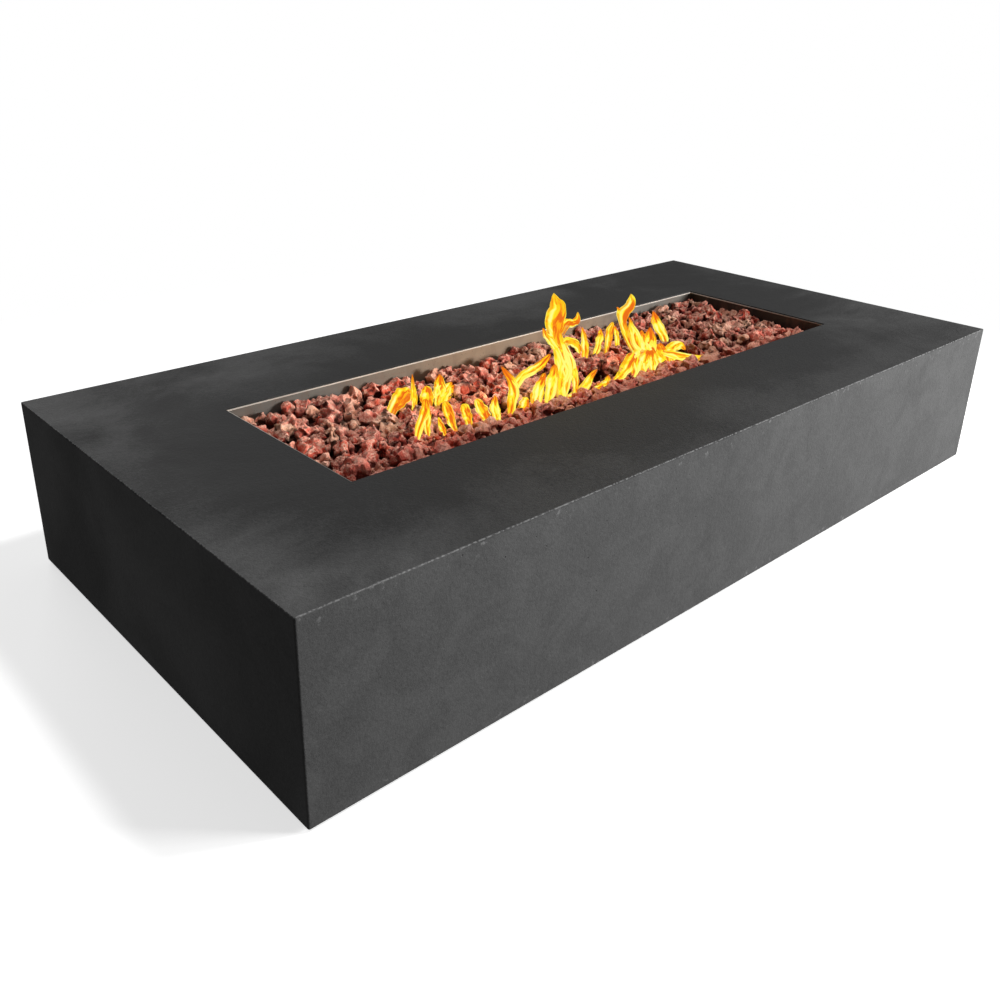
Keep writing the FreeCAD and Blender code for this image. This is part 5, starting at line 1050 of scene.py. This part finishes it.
TONGUES = (
    # tube, forward in mm, heat, open, stands on the tube, path
    ("rear", 0, 0.55, 1, 1, ((387, 410, 2), (394, 402, 6), (402, 395, 8), (409, 388, 3))),
    ("rear", 2, 0.60, 0, 1, ((414, 407, 2.2), (414, 396, 3.4), (413, 386, 2.2), (412, 374, 0.4))),
    ("rear", -2, 0.55, 1, 1, ((428, 403, 3), (427, 397, 6.5), (427, 390, 5.5), (426, 386, 2))),
    ("rear", 0, 0.50, 0, 1, ((437, 401, 2.5), (438, 392, 4.5), (440, 384, 6), (439, 374, 1))),
    ("rear", -4, 0.40, 0, 1, ((441, 399, 3), (446, 389, 5), (452, 382, 1))),
    ("rear", 3, 0.35, 0, 1, ((447, 398, 2), (450, 391, 3.4), (454, 385, 0.8))),
    ("front", 0, 0.50, 0, 1, ((416, 426, 2.5), (420, 418, 4), (425, 408, 4.5), (426, 399, 2.5))),
    ("front", 3, 0.45, 0, 1, ((429, 433, 1), (427, 425, 3.5), (427, 415, 4), (426, 404, 3))),
    ("front", -3, 0.80, 1, 1, ((446, 434, 1), (442, 427, 3.5), (438, 417, 0.8))),
    ("front", 0, 0.55, 1, 1, ((456, 429, 2), (452, 421, 4), (448, 411, 5.5), (445, 401, 3))),
    ("front", 0, 0.55, 1, 1, ((470, 423, 2), (467, 414, 5), (464, 404, 4))),
    ("front", 3, 0.50, 1, 1, ((487, 418, 3), (483, 410, 6), (476, 399, 3))),
    ("front", -2, 0.45, 0, 1, ((497, 415, 5), (495, 406, 4.5), (495, 395, 0.8))),
    ("front", 0, 0.60, 0, 1, ((510, 411, 2.5), (512, 400, 4.5), (514, 388, 5), (509, 377, 4),
                              (501, 366, 0.8))),
    ("front", 3, 0.50, 0, 0, ((514, 388, 4), (521, 377, 4), (531, 371, 4.5), (541, 365, 4),
                              (550, 354, 2))),
    ("front", -5, 0.60, 1, 1, ((519, 409, 3), (524, 404, 5), (527, 397, 2))),
    ("front", 0, 0.65, 0, 1, ((535, 405, 3), (536, 396, 5), (540, 386, 4), (545, 373, 2))),
    ("front", 4, 0.42, 1, 0, ((557, 347, 4), (553, 334, 6), (555, 320, 8.5), (558, 308, 8),
                              (556, 300, 4.5), (554, 293, 0.8))),
    ("front", 0, 0.85, 0, 1, ((560, 394, 4), (563, 380, 6), (565, 366, 8), (562, 352, 8.5),
                              (558, 340, 6), (557, 328, 3), (559, 318, 0.8))),
    ("front", 6, 0.40, 1, 0, ((559, 334, 4), (565, 324, 5), (572, 323, 4.5), (577, 320, 3),
                              (578, 312, 0.8))),
    ("front", -4, 0.40, 0, 0, ((556, 348, 3.5), (551, 341, 4), (546, 335, 3), (543, 328, 0.8))),
    ("front", 5, 0.45, 1, 0, ((562, 344, 4), (570, 341, 4.5), (577, 346, 4), (580, 354, 0.8))),
    ("front", -6, 0.90, 0, 1, ((535, 404, 2.5), (538, 394, 4.5), (540, 385, 4), (544, 376, 1))),
    ("front", -8, 0.80, 0, 1, ((548, 398, 2.5), (550, 387, 4.5), (553, 376, 4.5),
                               (555, 364, 1.5))),
    ("front", -8, 0.95, 0, 1, ((562, 396, 3), (561, 385, 4.5), (564, 373, 5), (566, 361, 2))),
    ("front", -3, 0.45, 0, 1, ((576, 383, 2), (575, 372, 3.5), (571, 358, 1))),
    ("front", -6, 0.55, 0, 1, ((565, 386, 4), (573, 389, 5), (583, 386, 4.5), (590, 377, 3),
                               (597, 369, 0.8))),
    ("front", -4, 0.55, 0, 1, ((594, 387, 2), (601, 386, 4), (607, 382, 3.5), (609, 375, 0.8))),
    ("rear", 0, 0.55, 0, 1, ((585, 359, 2), (585, 348, 3.2), (584, 337, 2.8), (582, 327, 0.6))),
    ("rear", 2, 0.50, 0, 1, ((594, 357, 1.6), (598, 346, 2.6), (600, 337, 2.8), (601, 329, 1))),
    ("rear", 0, 0.50, 1, 1, ((606, 353, 1.6), (608, 342, 2.8), (610, 331, 3.2), (613, 322, 1.5))),
    ("rear", -3, 0.45, 0, 1, ((619, 343, 1.2), (617, 335, 2.4), (615, 326, 0.8))),
    ("front", 4, 0.50, 1, 0, ((636, 352, 4), (628, 338, 3.5), (623, 325, 3.6), (623, 314, 4.6),
                              (629, 307, 4.2), (632, 300, 3.4), (631, 294, 1.4))),
    ("front", 2, 0.35, 0, 0, ((625, 315, 4), (620, 312, 2.5), (617, 307, 0.6))),
    ("front", 0, 0.60, 0, 0, ((641, 352, 6), (635, 337, 5), (631, 324, 2), (629, 317, 0.5))),
    ("front", -3, 0.85, 0, 0, ((646, 358, 7), (643, 343, 5), (642, 330, 0.8))),
    ("front", 3, 0.45, 0, 0, ((665, 341, 3), (661, 331, 5), (656, 321, 4.5), (653, 311, 0.8))),
    ("front", 0, 0.95, 0, 1, ((632, 374, 5), (638, 362, 9), (645, 351, 10), (650, 339, 6),
                              (650, 327, 1))),
    ("front", -5, 0.65, 0, 1, ((612, 378, 1.5), (621, 373, 4), (628, 364, 5), (635, 353, 4))),
    ("front", -7, 0.80, 0, 1, ((641, 371, 2), (643, 361, 5), (647, 349, 4))),
    ("front", -5, 0.75, 0, 1, ((652, 369, 2), (652, 358, 4.5), (650, 346, 3))),
    ("front", -7, 0.60, 0, 1, ((662, 369, 2), (661, 357, 4.5), (656, 344, 3))),
    ("front", -4, 0.50, 0, 1, ((669, 368, 2), (665, 355, 4), (660, 343, 2))),
    ("front", -10, 0.55, 0, 0, ((667, 353, 3), (673, 347, 5), (680, 345, 4), (685, 350, 1))),
    ("front", -20, 0.60, 0, 0, ((664, 353, 3), (674, 355, 4.5), (685, 357, 4.5), (697, 358, 3.5),
                                (709, 355, 0.6))),
    ("front", -12, 0.50, 0, 0, ((677, 366, 1), (673, 360, 3.5), (668, 353, 3))),
)


# The warm lamps that light the stones and the pan round the fire
GLOW_PLACES = ((-0.30, 0.0, 0.281), (-0.20, 0.0, 0.281), (-0.08, -0.02, 0.281),
               (0.14, -0.02, 0.281), (0.10, 0.057, 0.281))
RINGS = 24
BODY_SIDES = 20
FILAMENT_SIDES = 8
PATH_STEP = 0.02
RAGGED_SHARE = 0.26
SWAY_PIXELS = 0.9
LEAN = 0.022
TIP_START = 0.86
FLAME_GAP = 0.0006
# The bright filaments of a closed tongue
FILAMENTS = (
    # widest half width is over, how many, width share
    (8, 5, 0.13),
    (5.2, 2, 0.26),
    (4.2, 1, 0.26),
)
FILAMENT_SPREAD = 0.66
LONE_FILAMENT = 0.25
FILAMENT_NUDGE = 0.16
FILAMENT_WEAVE = 0.70


def along_path(path, share):
    """A smooth point of the path at a share of its length in points."""
    reach = share * (len(path) - 1)
    start = min(int(reach), len(path) - 2)
    step = reach - start
    before = path[max(start - 1, 0)]
    first, second = path[start], path[start + 1]
    after = path[min(start + 2, len(path) - 1)]
    return [0.5 * (2 * b + (c - a) * step + (2 * a - 5 * b + 4 * c - d) * step ** 2
                   + (3 * b - a - 3 * c + d) * step ** 3)
            for a, b, c, d in zip(before, first, second, after)]


def strands_of(number, is_open, path):
    """The body of a tongue and its bright filaments: sideways share, width share, kind."""
    widest = max(half for x, y, half in path)
    count, width = 0, 0.0
    if not is_open:
        count, width = next((row[1:] for row in FILAMENTS if widest > row[0]), (0, 0.0))
    made = [(0.0, 1.0, 0.0)]
    for place in range(count):
        spread = FILAMENT_SPREAD * (2 * place / (count - 1) - 1) if count > 1 else LONE_FILAMENT
        nudge = FILAMENT_NUDGE * noise.noise(Vector((number * 1.9, place * 2.7, 1.0)))
        made.append((spread + nudge, width, 1.0))
    return made


def tongue_rings(number, tongue, strand, sides, thickness):
    """Rings of points round one strand of a tongue, from its foot up."""
    tube, forward, _, _, stands, path = tongue
    shift, width, bright = strand
    low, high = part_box(f"burner_tube_{tube}")
    middle_y = (low.y + high.y) / 2 + forward / 1000
    seed = number * 3.7 + shift * 11
    made = []
    for ring in range(RINGS + 1):
        share = ring / RINGS
        x, y, half = along_path(path, share)
        ahead = along_path(path, min(share + PATH_STEP, 1))
        behind = along_path(path, max(share - PATH_STEP, 0))
        run = Vector((ahead[0] - behind[0], ahead[1] - behind[1])).normalized()
        side = Vector((-run.y, run.x))
        ragged = 1 + RAGGED_SHARE * noise.noise(Vector((number * 3.7, share * 7.5, 0.0)))
        weave = bright * FILAMENT_WEAVE * noise.noise(Vector((seed, share * 4.5, 9.0)))
        half = max(half * (0.90 if half < 7 else 1.0) * ragged, 0.15)
        half *= math.sqrt(max(1 - (max(share - TIP_START, 0) / (1 - TIP_START)) ** 2, 0.03))
        sway = SWAY_PIXELS * noise.noise(Vector((number * 5.1, share * 5.0, 4.0)))
        spread = max(-0.9, min(0.9, shift * (1 - 0.4 * share) + weave))
        middle = Vector((x + sway, y)) + side * half * spread * bright
        lean = min(share * 2, 1) * noise.noise(Vector((number * 2.3, share * 2.2, 3.0)))
        depth = middle_y + LEAN * lean
        reach_out = half * width * (1 - 0.8 * bright * share ** 3)
        left = on_upright_plane(*(middle - side * reach_out), depth)
        right = on_upright_plane(*(middle + side * reach_out), depth)
        centre = (left + right) / 2
        reach = (right - left) / 2
        body = reach.length / (width if bright else 1)
        bulge = min(reach.length * 0.7, thickness)
        lead = min(body * 0.7, thickness) * math.sqrt(1 - spread * spread) + FLAME_GAP
        centre.y -= bright * lead
        made.append([centre + reach * math.cos(angle) + Vector((0, bulge, 0)) * math.sin(angle)
                     for angle in (2 * math.pi * s / sides for s in range(sides))])
    if stands:
        drop = sum((p.z for p in made[0]), 0.0) / sides - high.z - FLAME_GAP
        for ring, points in enumerate(made):
            for point in points:
                point.z -= drop * (1 - ring / RINGS) ** 2
    return made


def flame_mesh():
    flame = bpy.context.scene.firepit_flame
    work = bmesh.new()
    keys = ("across", "along", "number", "heat", "open", "bright")
    layers = [work.verts.layers.float.new(key) for key in keys]

    def marked(place, values):
        vert = work.verts.new(place)
        for layer, value in zip(layers, values):
            vert[layer] = value
        return vert

    for number, tongue in enumerate(TONGUES):
        heat, is_open, path = tongue[2], tongue[3], tongue[5]
        for strand in strands_of(number, is_open, path):
            kind = (number, heat, is_open, strand[2])
            sides = FILAMENT_SIDES if strand[2] else BODY_SIDES
            rows = []
            for ring, points in enumerate(tongue_rings(number, tongue, strand, sides,
                                                       flame.thickness)):
                rows.append([marked(point, (math.cos(2 * math.pi * s / sides), ring / RINGS,
                                            *kind)) for s, point in enumerate(points)])
            for lower, upper in zip(rows, rows[1:]):
                for s in range(sides):
                    after = (s + 1) % sides
                    work.faces.new((lower[s], lower[after], upper[after], upper[s]))
            for row, share in ((rows[0], 0.0), (rows[-1], 1.0)):
                middle = sum((v.co for v in row), Vector()) / sides
                pole = marked(middle, (0.0, share, *kind))
                for s in range(sides):
                    work.faces.new((row[s], row[(s + 1) % sides], pole))
    bmesh.ops.recalc_face_normals(work, faces=work.faces)
    for face in work.faces:
        face.smooth = True
    mesh = bpy.data.meshes.new("flame_tongues")
    work.to_mesh(mesh)
    work.free()
    return mesh


def flame_finish():
    """Coloured by one value from ember to white, which falls as a tongue cools to its tip."""
    flame = bpy.context.scene.firepit_flame
    shader = Shader("gas_flame")
    signed = shader.attribute("across")
    across = shader.maths("ABSOLUTE", signed)
    along = shader.attribute("along")
    heat = shader.attribute("heat")
    is_open = shader.attribute("open")
    bright = shader.attribute("bright")
    lengthwise = shader.node("ShaderNodeCombineXYZ")
    shader.feed(lengthwise.inputs[0], shader.times(signed, 1.3))
    shader.feed(lengthwise.inputs[1], shader.times(along, 2.2))
    shader.feed(lengthwise.inputs[2], shader.times(shader.attribute("number"), 1.7))
    wisps = shader.clouds(0.8, 3, 0.6, lengthwise.outputs[0], 0.8)
    rim = shader.times(shader.band(across, 0.52, 0.78), shader.band(across, 0.90, 1.0, 1.0, 0.35))
    core = shader.band(across, 0.0, 0.75, 1.0, 0.0)
    rise = shader.band(along, 0.0, 0.55)
    edge = shader.larger(rim, shader.times(is_open, shader.band(along, 0.74, 0.94, 0.0, 0.8)))
    cooling = shader.times(shader.band(along, 0.55, 1.0), shader.minus(1.0, heat))
    cooling = shader.times(cooling, shader.band(is_open, 0.0, 1.0, 0.55, 0.15))
    inside = shader.plus(shader.times(heat, 0.66), shader.times(rise, 0.10))
    inside = shader.plus(inside, shader.times(core, shader.band(is_open, 0.0, 1.0, 0.30, -0.16)))
    body = shader.plus(shader.times(edge, 0.46), inside)
    body = shader.plus(body, shader.band(wisps, 0.36, 0.64, -0.26, 0.26))
    body = shader.minus(body, cooling)
    strand = shader.plus(shader.times(heat, 0.44), 0.56)
    strand = shader.minus(strand, cooling)
    strand = shader.plus(strand, shader.band(wisps, 0.40, 0.66, -0.10, 0.16))
    value = shader.plus(shader.times(body, shader.minus(1.0, bright)),
                        shader.times(strand, bright))
    value = shader.plus(value, 0.15, clamp=True)
    colour = shader.graded(value, ((0.0, flame.ember), (0.20, flame.orange), (0.36, flame.amber),
                                   (0.52, flame.yellow), (0.96, flame.white)))
    hollow = shader.times(is_open, shader.band(along, 0.0, 0.35, 0.75, 0.0))
    solid = shader.minus(0.97, shader.times(hollow, core))
    solid = shader.times(solid, shader.band(across, 0.86, 1.0, 1.0, 0.45))
    solid = shader.times(solid, shader.band(along, 0.0, 0.10, 0.30, 1.0))
    solid = shader.times(solid, shader.band(along, 0.86, 1.0, 1.0, 0.6))
    clear = shader.node("ShaderNodeBsdfTransparent")
    lit = shader.glow(colour, flame.strength)
    shader.feed(shader.output.inputs["Surface"], shader.either(solid, clear.outputs[0], lit))
    return shader.material


class FIREPIT_OT_flames(Operator):
    """Makes the tongues of flame on the two burner tubes"""
    bl_idname = "firepit.flames"
    bl_label = "Flames"

    def execute(self, context):
        mesh = flame_mesh()
        mesh.materials.append(flame_finish())
        piece = new_piece("flame_tongues", mesh)
        piece.visible_shadow = False
        seat(piece, "flame", "flames")
        flame = context.scene.firepit_flame
        for number, place in enumerate(GLOW_PLACES):
            data = bpy.data.lights.new(f"fire_glow_{number}", "POINT")
            data.energy = flame.glow
            data.color = flame.glow_colour
            data.shadow_soft_size = flame.glow_radius
            lamp = bpy.data.objects.new(data.name, data)
            lamp.location = place
            context.scene.collection.objects.link(lamp)
        return {"FINISHED"}


# Stage

LAMPS = (
    # name, place, aim, size, setting that holds its power
    ("key_lamp", (1.95, -2.6, 0.85), (0.1, 0.0, 0.2), 0.8, "key"),
    ("overhead_lamp", (1.8, -1.6, 5.0), (0.0, 0.0, 0.2), 0.6, "fill"),
    ("back_lamp", (-0.1, 3.6, 1.1), (0.0, 0.0, 0.15), 1.4, "back"),
)
FLOOR_HALF = 30
# The table's shadow shows on the floor up to the first distance and is gone at the second
SHADOW_ZONE = (1.1, 2.0)


def area_lamp(name, place, aim, size, power):
    data = bpy.data.lights.new(name, "AREA")
    data.shape = "SQUARE"
    data.size = size
    data.energy = power
    lamp = bpy.data.objects.new(name, data)
    lamp.location = place
    lamp.rotation_euler = (Vector(aim) - Vector(place)).to_track_quat("-Z", "Y").to_euler()
    bpy.context.scene.collection.objects.link(lamp)


def floor_finish():
    """A white floor that keeps the shadow near the table and throws little light back."""
    stage = bpy.context.scene.firepit_stage
    white = (1, 1, 1)
    shader = Shader("studio_floor")
    path = shader.node("ShaderNodeLightPath")
    x, y, _ = shader.axes()
    reach = shader.maths("SQRT", shader.plus(shader.times(x, x), shader.times(y, y)))
    grain = shader.band(shader.clouds(0.4, 2), 0.0, 1.0, 0.80, 0.90)
    lit = shader.node("ShaderNodeBsdfDiffuse")
    shader.feed(lit.inputs["Color"], shader.graded(grain, ((0.0, (0, 0, 0)), (1.0, white))))
    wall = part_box("concrete_shell")[1]
    under_edge = 0.02
    outside = shader.larger(shader.band(shader.maths("ABSOLUTE", x), wall.x - under_edge, wall.x),
                            shader.band(shader.maths("ABSOLUTE", y), wall.y - under_edge, wall.y))
    lifted = shader.glow(white, shader.times(outside, stage.floor_lift))
    near = shader.node("ShaderNodeAddShader")
    shader.feed(near.inputs[0], lit.outputs[0])
    shader.feed(near.inputs[1], lifted)
    shown = shader.either(shader.band(reach, *SHADOW_ZONE), near.outputs[0],
                          shader.glow(white, 1.0))
    dull = shader.node("ShaderNodeBsdfDiffuse")
    shader.feed(dull.inputs["Color"], (stage.floor_bounce,) * 3)
    unseen = shader.either(path.outputs["Is Glossy Ray"], dull.outputs[0],
                           shader.glow(white, stage.floor_gloss))
    seen = shader.larger(path.outputs["Is Camera Ray"], path.outputs["Is Transmission Ray"])
    shader.feed(shader.output.inputs["Surface"], shader.either(seen, unseen, shown))
    return shader.material


def light_the_sky(strength):
    world = bpy.data.worlds.new("studio_sky")
    world.use_nodes = True
    tree = world.node_tree
    tree.nodes.clear()
    path = tree.nodes.new("ShaderNodeLightPath")
    seen = tree.nodes.new("ShaderNodeMath")
    seen.operation = "MAXIMUM"
    tree.links.new(path.outputs["Is Camera Ray"], seen.inputs[0])
    tree.links.new(path.outputs["Is Transmission Ray"], seen.inputs[1])
    dim = tree.nodes.new("ShaderNodeBackground")
    dim.inputs["Strength"].default_value = strength
    white = tree.nodes.new("ShaderNodeBackground")
    for shade in (dim, white):
        shade.inputs["Color"].default_value = (1, 1, 1, 1)
    mix = tree.nodes.new("ShaderNodeMixShader")
    out = tree.nodes.new("ShaderNodeOutputWorld")
    tree.links.new(seen.outputs[0], mix.inputs[0])
    tree.links.new(dim.outputs[0], mix.inputs[1])
    tree.links.new(white.outputs[0], mix.inputs[2])
    tree.links.new(mix.outputs[0], out.inputs[0])
    bpy.context.scene.world = world


class FIREPIT_OT_stage(Operator):
    """Sets the floor, the lamps and the light all round"""
    bl_idname = "firepit.stage"
    bl_label = "Stage"

    def execute(self, context):
        stage = context.scene.firepit_stage
        work = bmesh.new()
        bmesh.ops.create_grid(work, x_segments=1, y_segments=1, size=FLOOR_HALF)
        mesh = bpy.data.meshes.new("studio_floor")
        work.to_mesh(mesh)
        work.free()
        mesh.materials.append(floor_finish())
        floor = new_piece("studio_floor", mesh)
        for name, place, aim, size, power in LAMPS:
            area_lamp(name, place, aim, size, getattr(stage, power))
        light_the_sky(stage.sky)
        context.scene.view_settings.view_transform = "Standard"
        return {"FINISHED"}


# Panel and registration

STEPS = (FIREPIT_OT_camera, FIREPIT_OT_shell_and_fittings, FIREPIT_OT_springs,
         FIREPIT_OT_lava_filler, FIREPIT_OT_lava_stones, FIREPIT_OT_flames, FIREPIT_OT_stage)
SETTINGS = {
    "firepit_concrete": ConcreteSettings,
    "firepit_stone": StoneSettings,
    "firepit_filler": FillerSettings,
    "firepit_flame": FlameSettings,
    "firepit_fittings": FittingSettings,
    "firepit_stage": StageSettings,
}


class FIREPIT_PT_sidebar(Panel):
    bl_idname = "FIREPIT_PT_sidebar"
    bl_label = "Fire pit table"
    bl_space_type = "VIEW_3D"
    bl_region_type = "UI"
    bl_category = "Fire pit"

    def draw(self, context):
        for step in STEPS:
            self.layout.operator(step.bl_idname)
        for key, group in SETTINGS.items():
            box = self.layout.box()
            for name in group.__annotations__:
                box.prop(getattr(context.scene, key), name)


def register():
    for each in (*SETTINGS.values(), *STEPS, FIREPIT_PT_sidebar):
        bpy.utils.register_class(each)
    for key, group in SETTINGS.items():
        setattr(bpy.types.Scene, key, PointerProperty(type=group))


def unregister():
    for key in SETTINGS:
        delattr(bpy.types.Scene, key)
    for each in reversed((*SETTINGS.values(), *STEPS, FIREPIT_PT_sidebar)):
        bpy.utils.unregister_class(each)


def main():
    register()
    bpy.ops.firepit.camera()
    bpy.ops.firepit.shell_and_fittings()
    bpy.ops.firepit.springs()
    bpy.ops.firepit.lava_filler()
    bpy.ops.firepit.lava_stones()
    bpy.ops.firepit.flames()
    bpy.ops.firepit.stage()


if __name__ == "__main__":
    main()
